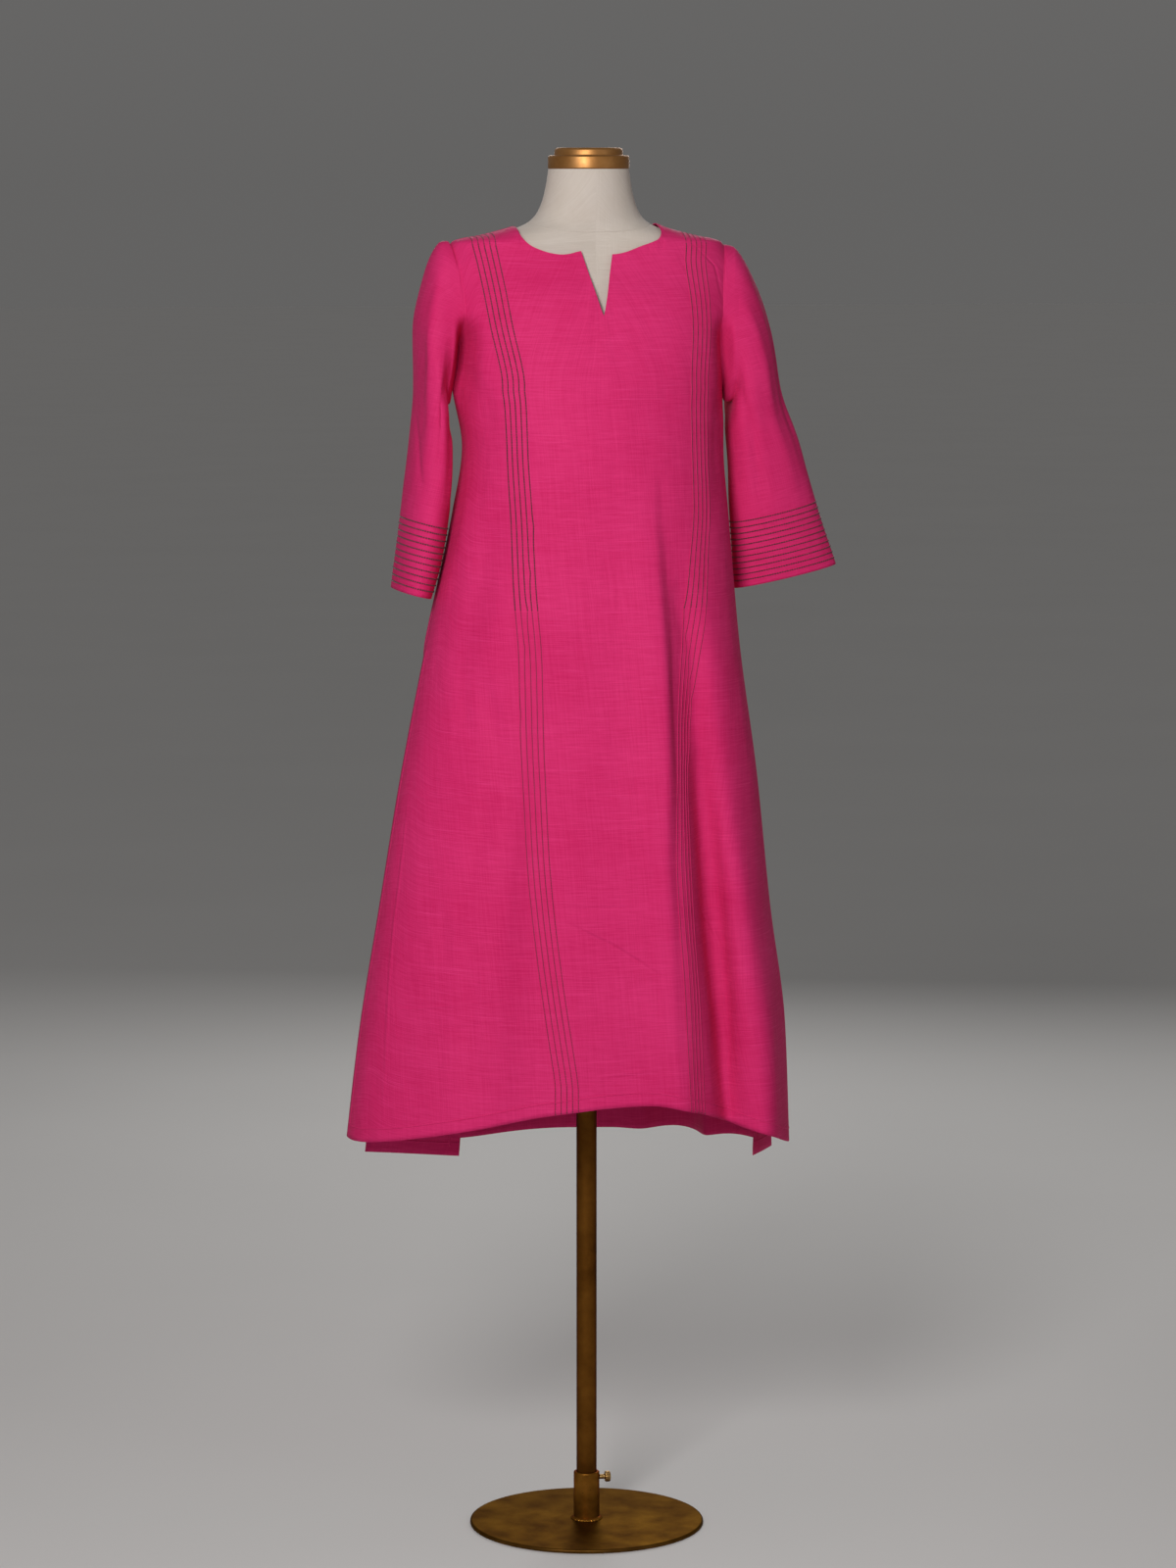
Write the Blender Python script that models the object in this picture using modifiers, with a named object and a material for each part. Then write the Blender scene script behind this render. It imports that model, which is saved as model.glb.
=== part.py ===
"""A-line kurti with three-quarter sleeves, worn by a limbless dress form on a pole stand.

Metres, +Z up. The origin is the middle of the base plate's underside. The front faces -Y,
and the wearer's left side is +X. Every cloth piece is an open sheet with a wall on its outside.
"""

import math
from collections import namedtuple

import bmesh
import bpy
from mathutils import Vector

# ---- cloth sizes -------------------------------------------------------------------------
WALL = 0.0012                 # cloth wall
SEAM_GAP = 0.0003             # between two pieces that are sewn together
ARMHOLE_GAP = 0.0016          # the sleeve starts outside the panels' wall, at an angle to it
REST_LIFT = 0.0020            # cloth above the form where it rests on the shoulders
REST_EASE = 0.0024            # cloth beside the form there

NECK_HALF_WIDTH = 0.083       # neckline, shoulder point to shoulder point
FRONT_NECK_Z = 1.571          # lowest point of the round front neck
BACK_NECK_Z = 1.596
NECK_ROUNDNESS = 2.6
SLIT_HALF_WIDTH = 0.019       # neck slit, at its top
SLIT_BOTTOM_Z = 1.499
SLIT_BOTTOM_X = 0.003

ARMHOLE_X = 0.166             # armhole seam, from the middle of the garment
ARMHOLE_CURVE = 0.009         # how far the armhole is scooped inwards halfway down
UNDERARM_Z = 1.410
SLIT_TOP_Z = 1.110            # the side seams end here, and the side slits begin

HEM_SIDE_Z = 0.482            # front hem at the slits
HEM_RISE = 0.076              # how much higher the front hem is in the middle
HEM_PEAK = 1.35               # shape of that rise
BACK_HEM_Z = 0.464

# ---- grid sizes: how finely each sheet is divided ----------------------------------------
SHOULDER_COLUMNS = 8          # from each armhole to the neckline
NECK_COLUMNS = 7              # from the shoulder point to the slit, or to half the back neck
SKIRT_ROWS = 18
YOKE_ROWS = 11                # rows from the underarm to the shoulder seam
SLEEVE_RINGS = 11
FORM_SEGMENTS = 32

# ---- the garment's own sections, measured on the photo's outline -------------------------
# left is the wearer's right side, at -X. middle is where the centre front line hangs.
Section = namedtuple("Section", "z left right front back middle centre_y")
HANGING_SECTIONS = (
    Section(0.440, 0.304, 0.254, 0.176, 0.176, 0.066, 0.0),
    Section(0.630, 0.281, 0.247, 0.169, 0.168, 0.056, 0.0),
    Section(0.780, 0.256, 0.226, 0.162, 0.160, 0.046, 0.0),
    Section(0.940, 0.229, 0.207, 0.153, 0.152, 0.035, 0.0),
    Section(1.110, 0.195, 0.184, 0.144, 0.142, 0.022, 0.0),
    Section(1.260, 0.164, 0.171, 0.134, 0.131, 0.010, 0.0),
    Section(1.340, 0.157, 0.165, 0.131, 0.124, 0.005, 0.0),
    Section(1.410, 0.163, 0.166, 0.122, 0.119, 0.000, 0.0),
    Section(1.470, 0.172, 0.174, 0.110, 0.115, 0.000, 0.0),
    Section(1.520, 0.176, 0.177, 0.096, 0.107, 0.000, 0.0),
    Section(1.552, 0.177, 0.177, 0.078, 0.091, 0.000, -0.001),
)
SECTION_SQUARENESS = 2.3

# ---- folds: soft ridges (height > 0) and troughs (height < 0) that run down the skirt ----
# at_top and at_hem place the fold across its panel, from -1 at the wearer's right seam to +1
# at the left one. The widths are its two flanks, on the same scale.
Fold = namedtuple("Fold", "top_z full_z at_top at_hem flank_right flank_left height")
FRONT_FOLDS = (
    Fold(1.30, 0.75, 0.36, 0.12, 0.26, 0.11, 0.020),
    Fold(1.28, 0.80, 0.56, 0.34, 0.11, 0.12, -0.032),
    Fold(0.95, 0.55, 0.74, 0.68, 0.16, 0.14, 0.016),
    Fold(0.80, 0.52, 0.58, 0.50, 0.07, 0.06, -0.014),
    Fold(1.12, 0.70, -0.62, -0.66, 0.14, 0.18, 0.008),
    Fold(1.16, 0.85, -0.42, -0.46, 0.12, 0.10, -0.008),
)
BACK_FOLDS = (
    Fold(1.05, 0.60, -0.55, -0.58, 0.14, 0.16, -0.014),
    Fold(1.20, 0.70, -0.20, -0.22, 0.20, 0.16, 0.012),
    Fold(1.10, 0.65, 0.16, 0.18, 0.12, 0.14, -0.016),
    Fold(1.00, 0.55, 0.48, 0.46, 0.14, 0.10, 0.012),
    Fold(0.90, 0.50, 0.72, 0.70, 0.10, 0.09, -0.036),
)

# ---- the back panel's edge strips turn inwards behind the front at the side slits --------
# side is -1 at the wearer's right. The strip beyond the share `fold_at` turns in, at the share
# `side_at` of the section. From below `start_z` it grows to the hem, where its free edge lies
# `reach` further in and `forward` of the turn. The panel lies `inset` inside the front there,
# and `flare` outside the front's edge higher up the slit.
Tuck = namedtuple("Tuck", "side fold_at side_at start_z reach forward inset flare")
BACK_TUCKS = (
    Tuck(-1, 0.82, 0.940, 1.02, 0.112, 0.046, 0.012, 0.000),
    Tuck(1, 0.90, 0.995, 0.64, 0.036, 0.058, 0.010, 0.007),
)

# ---- sleeves: each ring spans from its outer to its inner edge ---------------------------
# x is measured outwards from the middle of the garment.
SLEEVE_FREE_AT = 0.36         # share of the sleeve's length where it no longer keeps the armhole's shape
CAP_REACH = 0.110             # how fast the sleeve head leaves the armhole sideways
SleeveRing = namedtuple("SleeveRing", "along outer_x outer_z inner_x inner_z half_depth centre_y")
RIGHT_SLEEVE_RINGS = (        # the wearer's right arm, at -X: hangs close, seen from its edge
    SleeveRing(0.10, 0.181, 1.576, 0.167, 1.404, 0.058, 0.000),
    SleeveRing(0.22, 0.200, 1.536, 0.169, 1.386, 0.066, 0.001),
    SleeveRing(0.36, 0.212, 1.486, 0.168, 1.363, 0.071, 0.003),
    SleeveRing(0.52, 0.214, 1.415, 0.168, 1.328, 0.070, 0.006),
    SleeveRing(0.70, 0.223, 1.330, 0.174, 1.276, 0.066, 0.010),
    SleeveRing(0.86, 0.234, 1.246, 0.182, 1.212, 0.061, 0.013),
    SleeveRing(1.00, 0.243, 1.183, 0.192, 1.160, 0.058, 0.014),
)
LEFT_SLEEVE_RINGS = (         # the wearer's left arm, at +X: swings out and is seen flat
    SleeveRing(0.10, 0.183, 1.570, 0.171, 1.402, 0.056, 0.000),
    SleeveRing(0.22, 0.204, 1.532, 0.173, 1.382, 0.058, 0.002),
    SleeveRing(0.36, 0.225, 1.482, 0.175, 1.352, 0.056, 0.004),
    SleeveRing(0.52, 0.243, 1.410, 0.178, 1.312, 0.049, 0.008),
    SleeveRing(0.70, 0.268, 1.328, 0.181, 1.262, 0.040, 0.012),
    SleeveRing(0.86, 0.294, 1.248, 0.185, 1.205, 0.032, 0.016),
    SleeveRing(1.00, 0.311, 1.196, 0.188, 1.166, 0.027, 0.018),
)

# ---- dress form, a general limbless figure -----------------------------------------------
FormSection = namedtuple("FormSection", "z half_width front back centre_y squareness")
FORM_SECTIONS = (
    FormSection(0.905, 0.148, 0.096, 0.100, 0.000, 2.3),
    FormSection(0.990, 0.163, 0.104, 0.114, 0.000, 2.3),
    FormSection(1.090, 0.147, 0.094, 0.098, 0.000, 2.3),
    FormSection(1.195, 0.119, 0.084, 0.082, 0.000, 2.2),
    FormSection(1.270, 0.127, 0.100, 0.086, 0.000, 2.2),
    FormSection(1.345, 0.141, 0.120, 0.096, 0.000, 2.2),
    FormSection(1.410, 0.147, 0.113, 0.104, 0.000, 2.2),
    FormSection(1.470, 0.154, 0.099, 0.106, 0.000, 2.3),
    FormSection(1.520, 0.160, 0.084, 0.098, 0.000, 2.3),
    FormSection(1.552, 0.1635, 0.072, 0.086, -0.001, 2.3),
    FormSection(1.571, 0.1655, 0.064, 0.074, -0.002, 2.3),
    FormSection(1.579, 0.1610, 0.061, 0.069, -0.003, 2.3),
    FormSection(1.584, 0.1480, 0.059, 0.066, -0.004, 2.3),
    FormSection(1.588, 0.1340, 0.058, 0.064, -0.005, 2.3),
    FormSection(1.595, 0.111, 0.056, 0.062, -0.006, 2.3),
    FormSection(1.602, 0.088, 0.054, 0.058, -0.008, 2.2),
    FormSection(1.609, 0.073, 0.052, 0.055, -0.009, 2.1),
    FormSection(1.619, 0.063, 0.051, 0.052, -0.011, 2.0),
    FormSection(1.636, 0.0555, 0.050, 0.050, -0.013, 2.0),
    FormSection(1.656, 0.051, 0.049, 0.049, -0.014, 2.0),
    FormSection(1.673, 0.0485, 0.0485, 0.0485, -0.015, 2.0),
)
SHOULDER_SECTION_Z = 1.56     # the cloth follows the form's sections from here up

# ---- neck cap and stand ------------------------------------------------------------------
TOUCH_GAP = 0.0003
CAP_Z = 1.6733
CAP_RADIUS = 0.0490
CAP_TIER_HEIGHT = 0.0160
CAP_TOP_RADIUS = 0.0415
CAP_TOP_HEIGHT = 0.0090
CAP_EDGE = 0.0025
CAP_Y = -0.015

POLE_RADIUS = 0.0125
BASE_RADIUS = 0.145
BASE_HEIGHT = 0.0050
BASE_EDGE = 0.0012
COLLAR_RADIUS = 0.0160
COLLAR_HEIGHT = 0.0600
SCREW_Z = 0.0570              # thumb screw, above the floor
SCREW_SHANK_RADIUS = 0.0030
SCREW_SHANK_LENGTH = 0.0066
SCREW_HEAD_RADIUS = 0.0068
SCREW_HEAD_LENGTH = 0.0068
ROUND_STEPS = 48

# ---- finishes ----------------------------------------------------------------------------
PINK = (0.70, 0.045, 0.155, 1.0)
IVORY = (0.60, 0.53, 0.47, 1.0)
GOLD = (0.42, 0.19, 0.045, 1.0)
BRONZE = (0.13, 0.055, 0.012, 1.0)


def clear_scene():
    for obj in list(bpy.data.objects):
        bpy.data.objects.remove(obj, do_unlink=True)


def make_material(name, colour, roughness, metallic):
    material = bpy.data.materials.new(name)
    material.use_nodes = True
    shader = material.node_tree.nodes["Principled BSDF"]
    shader.inputs["Base Color"].default_value = colour
    shader.inputs["Roughness"].default_value = roughness
    shader.inputs["Metallic"].default_value = metallic
    return material


def smooth_step(value):
    value = min(max(value, 0.0), 1.0)
    return value * value * (3.0 - 2.0 * value)


def read_table(rows, key, column, at):
    """A column of a table as a smooth curve that never overshoots its rows (monotone Hermite)."""
    keys = [getattr(row, key) for row in rows]
    values = [getattr(row, column) for row in rows]
    if at <= keys[0]:
        return values[0]
    if at >= keys[-1]:
        return values[-1]
    slopes = [(values[i + 1] - values[i]) / (keys[i + 1] - keys[i]) for i in range(len(rows) - 1)]
    tangents = [slopes[0]]
    for before, after in zip(slopes, slopes[1:]):
        level = before * after <= 0.0
        tangents.append(0.0 if level else 2.0 * before * after / (before + after))
    tangents.append(slopes[-1])
    i = max(k for k in range(len(rows) - 1) if keys[k] <= at)
    span = keys[i + 1] - keys[i]
    t = (at - keys[i]) / span
    start = values[i] * (1.0 + 2.0 * t) * (1.0 - t) ** 2 + span * tangents[i] * t * (1.0 - t) ** 2
    end = values[i + 1] * t * t * (3.0 - 2.0 * t) + span * tangents[i + 1] * t * t * (t - 1.0)
    return start + end


def cloth_sections():
    """The hanging sections, and above them the form's own shoulders with the cloth laid on."""
    resting = [
        Section(
            row.z + REST_LIFT,
            row.half_width + REST_EASE,
            row.half_width + REST_EASE,
            row.front + REST_EASE,
            row.back + REST_EASE,
            0.0,
            row.centre_y,
        )
        for row in FORM_SECTIONS
        if SHOULDER_SECTION_Z < row.z < 1.64
    ]
    return HANGING_SECTIONS + tuple(resting)


CLOTH = cloth_sections()


def oval(share, squareness):
    """Height of a squared-off half oval, from 1 in its middle to 0 at its ends."""
    return max(1.0 - abs(share) ** squareness, 0.0) ** (1.0 / squareness)


def fold_depth(folds, across, z):
    """How far the folds push the cloth out at this place on a panel."""
    push = 0.0
    for fold in folds:
        grown = smooth_step((fold.top_z - z) / (fold.top_z - fold.full_z))
        down = min(max((fold.top_z - z) / (fold.top_z - BACK_HEM_Z), 0.0), 1.0)
        away = across - (fold.at_top + (fold.at_hem - fold.at_top) * down)
        flank = fold.flank_right if away < 0.0 else fold.flank_left
        push += fold.height * grown * math.exp(-((away / flank) ** 2))
    return push


def cloth_point(side, x, z):
    """A point of the garment's body above the underarm. side is -1 for the front, 1 for the back."""
    half = read_table(CLOTH, "z", "left" if x < 0.0 else "right", z)
    depth = read_table(CLOTH, "z", "front" if side < 0 else "back", z)
    reach = depth * oval(min(abs(x) / half, 1.0), SECTION_SQUARENESS)
    return Vector((x, read_table(CLOTH, "z", "centre_y", z) + side * max(reach, SEAM_GAP / 2.0), z))


def skirt_point(side, across, z, folds):
    """A point of the garment's body below the underarm, at a share `across` its panel."""
    middle = read_table(CLOTH, "z", "middle", z)
    left = read_table(CLOTH, "z", "left", z)
    right = read_table(CLOTH, "z", "right", z)
    depth = read_table(CLOTH, "z", "front" if side < 0 else "back", z)
    half = left + middle if across < 0.0 else right - middle
    reach = depth * oval(across, SECTION_SQUARENESS)
    out = Vector((across * abs(across) * 0.7, side * (1.0 - across * across * 0.5), 0.0)).normalized()
    point = Vector((middle + across * half, side * max(reach, SEAM_GAP / 2.0), z))
    fade = 1.0 - smooth_step((abs(across) - 0.85) / 0.15)
    return point + out * (fold_depth(folds, across, z) * fade)


def shoulder_z(x):
    """Height of the shoulder seam at x: where the body's section is just as wide as x."""
    low, high = SHOULDER_SECTION_Z, FORM_SECTIONS[-4].z + REST_LIFT
    for _ in range(40):
        z = (low + high) / 2.0
        if read_table(CLOTH, "z", "right", z) > abs(x):
            low = z
        else:
            high = z
    return low


def neck_z(side, x):
    """Height of the neckline at x."""
    lowest = FRONT_NECK_Z if side < 0 else BACK_NECK_Z
    rise = shoulder_z(NECK_HALF_WIDTH) - lowest
    return lowest + rise * (1.0 - oval(x / NECK_HALF_WIDTH, NECK_ROUNDNESS))


def top_z(side, x):
    """Height of a panel's top edge at x: shoulder seam, neckline or neck slit."""
    if abs(x) >= NECK_HALF_WIDTH:
        return shoulder_z(x)
    if side > 0 or abs(x) >= SLIT_HALF_WIDTH:
        return neck_z(side, x)
    corner = math.copysign(SLIT_HALF_WIDTH, x - SLIT_BOTTOM_X)
    share = (x - SLIT_BOTTOM_X) / (corner - SLIT_BOTTOM_X)
    return SLIT_BOTTOM_Z + (neck_z(side, SLIT_HALF_WIDTH) - SLIT_BOTTOM_Z) * share


def armhole_x(side_x, up):
    """x of an armhole seam, from the underarm (0) to the shoulder (1)."""
    underarm = read_table(CLOTH, "z", "left" if side_x < 0.0 else "right", UNDERARM_Z)
    scoop = ARMHOLE_CURVE * math.sin(math.pi * up) ** 2
    return math.copysign(underarm + (ARMHOLE_X - underarm) * up - scoop, side_x)


def eased(up):
    """Rows lie closer together at the underarm and at the shoulder, where the cloth bends most."""
    return (1.0 - math.cos(math.pi * up)) / 2.0


def column_shares(side):
    """Where a panel's columns stand, -1 to 1: closer at armholes and neck corners, exact at the slit."""
    neck = NECK_HALF_WIDTH / ARMHOLE_X
    slit = SLIT_HALF_WIDTH / ARMHOLE_X
    inner = slit if side < 0 else 0.0
    outer_half = []
    for i in range(SHOULDER_COLUMNS):
        outer_half.append(neck + (1.0 - neck) * math.cos(math.pi / 2.0 * i / SHOULDER_COLUMNS) ** 0.8)
    for i in range(NECK_COLUMNS):
        turn = math.pi / 2.0 * (i / NECK_COLUMNS) ** 1.6
        outer_half.append(inner + (neck - inner) * math.cos(turn) ** (2.0 / NECK_ROUNDNESS))
    if side > 0:
        return [-share for share in outer_half] + [0.0] + outer_half[::-1]
    bottom = SLIT_BOTTOM_X / ARMHOLE_X
    slit_left = [-slit, (bottom - slit) / 2.0]
    slit_right = [(bottom + slit) / 2.0, slit]
    return [-share for share in outer_half] + slit_left + [bottom] + slit_right + outer_half[::-1]


def yoke_rows(side, shares):
    """Rows of points from the underarm up to the shoulder seam and the neckline."""
    rows = []
    for i in range(YOKE_ROWS + 1):
        up = i / YOKE_ROWS
        row = []
        for share in shares:
            x = abs(share) * armhole_x(share, up)
            z = UNDERARM_Z + (top_z(side, share * ARMHOLE_X) - UNDERARM_Z) * eased(up)
            row.append(cloth_point(side, x, z))
        rows.append(row)
    return rows


def hem_z(side, across):
    if side > 0:
        return BACK_HEM_Z
    return HEM_SIDE_Z + HEM_RISE * (1.0 - abs(across) ** HEM_PEAK)


def back_point(share, z):
    """A point of the back panel's skirt, with its edge strips turned in below the slits' top."""
    tuck = BACK_TUCKS[0 if share < 0.0 else 1]
    grown = smooth_step((tuck.start_z - z) / (tuck.start_z - BACK_HEM_Z))
    turned_at = 1.0 + (tuck.side_at / tuck.fold_at - 1.0) * grown
    across = math.copysign(min(abs(share) * turned_at, 1.0 + (tuck.side_at - 1.0) * grown), share)
    point = skirt_point(1, across, z, BACK_FOLDS)
    strip = max((abs(share) - tuck.fold_at) / (1.0 - tuck.fold_at), 0.0) * grown
    opened = min(max((SLIT_TOP_Z - z) / 0.06, 0.0), 1.0)
    inside = smooth_step((tuck.start_z + 0.10 - z) / 0.08)
    offset = (tuck.inset * inside - tuck.flare * (1.0 - inside)) * opened * smooth_step(abs(across) / 0.9)
    return point + Vector((-tuck.side * (offset + tuck.reach * strip), -tuck.forward * strip, 0.0))


def skirt_rows(side, shares):
    """Rows of points from the hem up to just under the underarm."""
    rows = []
    for i in range(SKIRT_ROWS):
        row = []
        for share in shares:
            low = hem_z(side, share)
            z = low + (UNDERARM_Z - low) * i / SKIRT_ROWS
            row.append(back_point(share, z) if side > 0 else skirt_point(side, share, z, FRONT_FOLDS))
        rows.append(row)
    return rows


def sheet_object(name, rows, closed, material, collection):
    """A cloth piece: a sheet through rows of points, with its wall on the outside."""
    mesh = bmesh.new()
    grid = [[mesh.verts.new(point) for point in row] for row in rows]
    across = len(grid[0])
    for low, high in zip(grid, grid[1:]):
        for i in range(across if closed else across - 1):
            j = (i + 1) % across
            mesh.faces.new((low[i], low[j], high[j], high[i]))
    bmesh.ops.recalc_face_normals(mesh, faces=mesh.faces)
    middle = sum((vert.co for vert in mesh.verts), Vector()) / len(mesh.verts)
    if closed:
        middle = sum((vert.co for vert in grid[-1]), Vector()) / across
        outwards = grid[-1][0].co - middle
        probe = grid[-1][0].link_faces[0].normal
    else:
        outwards = Vector((0.0, math.copysign(1.0, middle.y), 0.0))
        probe = grid[len(grid) // 2][across // 2].link_faces[0].normal
    if probe.dot(outwards) < 0.0:
        bmesh.ops.reverse_faces(mesh, faces=mesh.faces)
    data = bpy.data.meshes.new(name)
    mesh.to_mesh(data)
    mesh.free()
    data.shade_smooth()
    data.materials.append(material)
    sheet = bpy.data.objects.new(name, data)
    collection.objects.link(sheet)
    wall = sheet.modifiers.new("wall", "SOLIDIFY")
    wall.thickness = WALL
    wall.offset = 1.0
    return sheet


def make_panel(name, side, material, collection):
    shares = column_shares(side)
    rows = skirt_rows(side, shares) + yoke_rows(side, shares)
    return sheet_object(name, rows, False, material, collection)


def armhole_ring(side_x):
    """The armhole's closed edge: up its front from the underarm, then down its back."""
    front = [armhole_edge(side_x, -1, i / YOKE_ROWS) for i in range(YOKE_ROWS + 1)]
    back = [armhole_edge(side_x, 1, i / YOKE_ROWS) for i in range(YOKE_ROWS + 1)]
    return front + back[-2:0:-1]


def armhole_edge(side_x, side_y, up):
    x = armhole_x(side_x, up)
    z = UNDERARM_Z + (shoulder_z(ARMHOLE_X) - UNDERARM_Z) * eased(up)
    return cloth_point(side_y, x, z)


def sleeve_ring(side_x, rings, along, angles):
    """One ring of a sleeve: an oval between its inner and outer edge."""
    size = {c: read_table(rings, "along", c, along) for c in SleeveRing._fields}
    outer = Vector((side_x * size["outer_x"], size["centre_y"], size["outer_z"]))
    inner = Vector((side_x * size["inner_x"], size["centre_y"], size["inner_z"]))
    middle = (outer + inner) / 2.0
    spread = (outer - inner) / 2.0
    return [
        middle - spread * math.cos(angle) + Vector((0.0, -size["half_depth"] * math.sin(angle), 0.0))
        for angle in angles
    ]


def make_sleeve(name, side_x, rings, material, collection):
    armhole = armhole_ring(side_x)
    angles = [2.0 * math.pi * i / len(armhole) for i in range(len(armhole))]
    rows = [[point + Vector((side_x * ARMHOLE_GAP, 0.0, 0.0)) for point in armhole]]
    for k in range(1, SLEEVE_RINGS + 1):
        along = rings[0].along + (1.0 - rings[0].along) * (k - 1) / (SLEEVE_RINGS - 1)
        free = smooth_step(along / SLEEVE_FREE_AT)
        outwards = Vector((side_x * (ARMHOLE_GAP + CAP_REACH * along), 0.0, 0.0))
        ring = sleeve_ring(side_x, rings, along, angles)
        rows.append([(edge + outwards).lerp(point, free) for edge, point in zip(armhole, ring)])
    rows.reverse()
    return sheet_object(name, rows, True, material, collection)


def make_form(material, collection):
    """The torso and neck: a closed skin through its sections, flat at the neck and underneath."""
    mesh = bmesh.new()
    rings = []
    for size in FORM_SECTIONS:
        power = 2.0 / size.squareness
        ring = []
        for i in range(FORM_SEGMENTS):
            angle = 2.0 * math.pi * i / FORM_SEGMENTS
            across = math.copysign(abs(math.sin(angle)) ** power, math.sin(angle))
            along = math.copysign(abs(math.cos(angle)) ** power, math.cos(angle))
            depth = size.front if along > 0.0 else size.back
            place = (size.half_width * across, size.centre_y - depth * along, size.z)
            ring.append(mesh.verts.new(place))
        rings.append(ring)
    for low, high in zip(rings, rings[1:]):
        for i in range(FORM_SEGMENTS):
            j = (i + 1) % FORM_SEGMENTS
            mesh.faces.new((low[i], low[j], high[j], high[i]))
    mesh.faces.new(rings[0])
    mesh.faces.new(rings[-1])
    bmesh.ops.recalc_face_normals(mesh, faces=mesh.faces)
    data = bpy.data.meshes.new("dress_form")
    mesh.to_mesh(data)
    mesh.free()
    data.shade_smooth()
    data.set_sharp_from_angle(angle=math.radians(50.0))
    data.materials.append(material)
    form = bpy.data.objects.new("dress_form", data)
    collection.objects.link(form)
    return form


def make_turned(name, profile, place, material, collection):
    """A turned piece. The profile is (radius, height) pairs down its outer side."""
    data = bpy.data.meshes.new(name)
    points = [(radius, 0.0, height) for radius, height in profile]
    data.from_pydata(points, [(i, i + 1) for i in range(len(points) - 1)], [])
    data.materials.append(material)
    piece = bpy.data.objects.new(name, data)
    collection.objects.link(piece)
    piece.location = place
    turn = piece.modifiers.new("turn", "SCREW")
    turn.steps = ROUND_STEPS
    turn.render_steps = ROUND_STEPS
    turn.use_merge_vertices = True
    turn.merge_threshold = 0.00001
    turn.use_smooth_shade = True
    return piece


def make_cap(material, collection):
    tier = CAP_TIER_HEIGHT
    top = tier + CAP_TOP_HEIGHT
    profile = (
        (0.0, top),
        (CAP_TOP_RADIUS - CAP_EDGE, top),
        (CAP_TOP_RADIUS - CAP_EDGE * 0.3, top - CAP_EDGE * 0.3),
        (CAP_TOP_RADIUS, top - CAP_EDGE),
        (CAP_TOP_RADIUS, tier),
        (CAP_RADIUS - CAP_EDGE * 0.4, tier),
        (CAP_RADIUS, tier - CAP_EDGE * 0.4),
        (CAP_RADIUS, 0.0),
        (0.0, 0.0),
    )
    return make_turned("neck_cap", profile, (0.0, CAP_Y, CAP_Z), material, collection)


def make_base(material, collection):
    profile = (
        (0.0, BASE_HEIGHT),
        (BASE_RADIUS - BASE_EDGE, BASE_HEIGHT),
        (BASE_RADIUS, BASE_HEIGHT - BASE_EDGE),
        (BASE_RADIUS, BASE_EDGE / 2.0),
        (BASE_RADIUS - BASE_EDGE / 2.0, 0.0),
        (0.0, 0.0),
    )
    return make_turned("base_plate", profile, (0.0, 0.0, 0.0), material, collection)


def make_collar(material, collection):
    inner = POLE_RADIUS + TOUCH_GAP
    profile = (
        (inner, COLLAR_HEIGHT),
        (COLLAR_RADIUS - BASE_EDGE, COLLAR_HEIGHT),
        (COLLAR_RADIUS, COLLAR_HEIGHT - BASE_EDGE),
        (COLLAR_RADIUS, 0.0),
        (inner, 0.0),
        (inner, COLLAR_HEIGHT),
    )
    collar = make_turned("pole_collar", profile, (0.0, 0.0, BASE_HEIGHT + TOUCH_GAP), material, collection)
    weld = collar.modifiers.new("close the bore", "WELD")
    weld.merge_threshold = 0.00001
    return collar


def make_pole(material, collection):
    foot = BASE_HEIGHT + TOUCH_GAP
    height = FORM_SECTIONS[0].z - TOUCH_GAP - foot
    profile = ((0.0, height), (POLE_RADIUS, height), (POLE_RADIUS, 0.0), (0.0, 0.0))
    return make_turned("pole", profile, (0.0, 0.0, foot), material, collection)


def make_screw(material, collection):
    """The thumb screw that clamps the pole, with its shank against the collar's side."""
    end = SCREW_SHANK_LENGTH + SCREW_HEAD_LENGTH
    edge = SCREW_HEAD_RADIUS * 0.12
    profile = (
        (0.0, end),
        (SCREW_HEAD_RADIUS - edge, end),
        (SCREW_HEAD_RADIUS, end - edge),
        (SCREW_HEAD_RADIUS, SCREW_SHANK_LENGTH + edge),
        (SCREW_HEAD_RADIUS - edge, SCREW_SHANK_LENGTH),
        (SCREW_SHANK_RADIUS, SCREW_SHANK_LENGTH),
        (SCREW_SHANK_RADIUS, 0.0),
        (0.0, 0.0),
    )
    start = COLLAR_RADIUS + TOUCH_GAP
    screw = make_turned("thumb_screw", profile, (start, 0.0, SCREW_Z), material, collection)
    screw.rotation_euler = (0.0, math.pi / 2.0, 0.0)
    screw.modifiers["turn"].steps = 20
    screw.modifiers["turn"].render_steps = 20
    return screw


def main():
    clear_scene()
    collection = bpy.data.collections.new("kurti on a dress form stand")
    bpy.context.scene.collection.children.link(collection)
    cloth = make_material("pink handloom cloth", PINK, 0.75, 0.0)
    cover = make_material("ivory form cover", IVORY, 0.85, 0.0)
    gold = make_material("gold paint", GOLD, 0.35, 0.8)
    bronze = make_material("bronze paint", BRONZE, 0.4, 0.8)

    make_panel("front_panel", -1, cloth, collection)
    make_panel("back_panel", 1, cloth, collection)
    make_sleeve("right_sleeve", -1, RIGHT_SLEEVE_RINGS, cloth, collection)
    make_sleeve("left_sleeve", 1, LEFT_SLEEVE_RINGS, cloth, collection)
    make_form(cover, collection)
    make_cap(gold, collection)
    make_pole(bronze, collection)
    make_collar(bronze, collection)
    make_screw(gold, collection)
    make_base(bronze, collection)


main()
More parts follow.
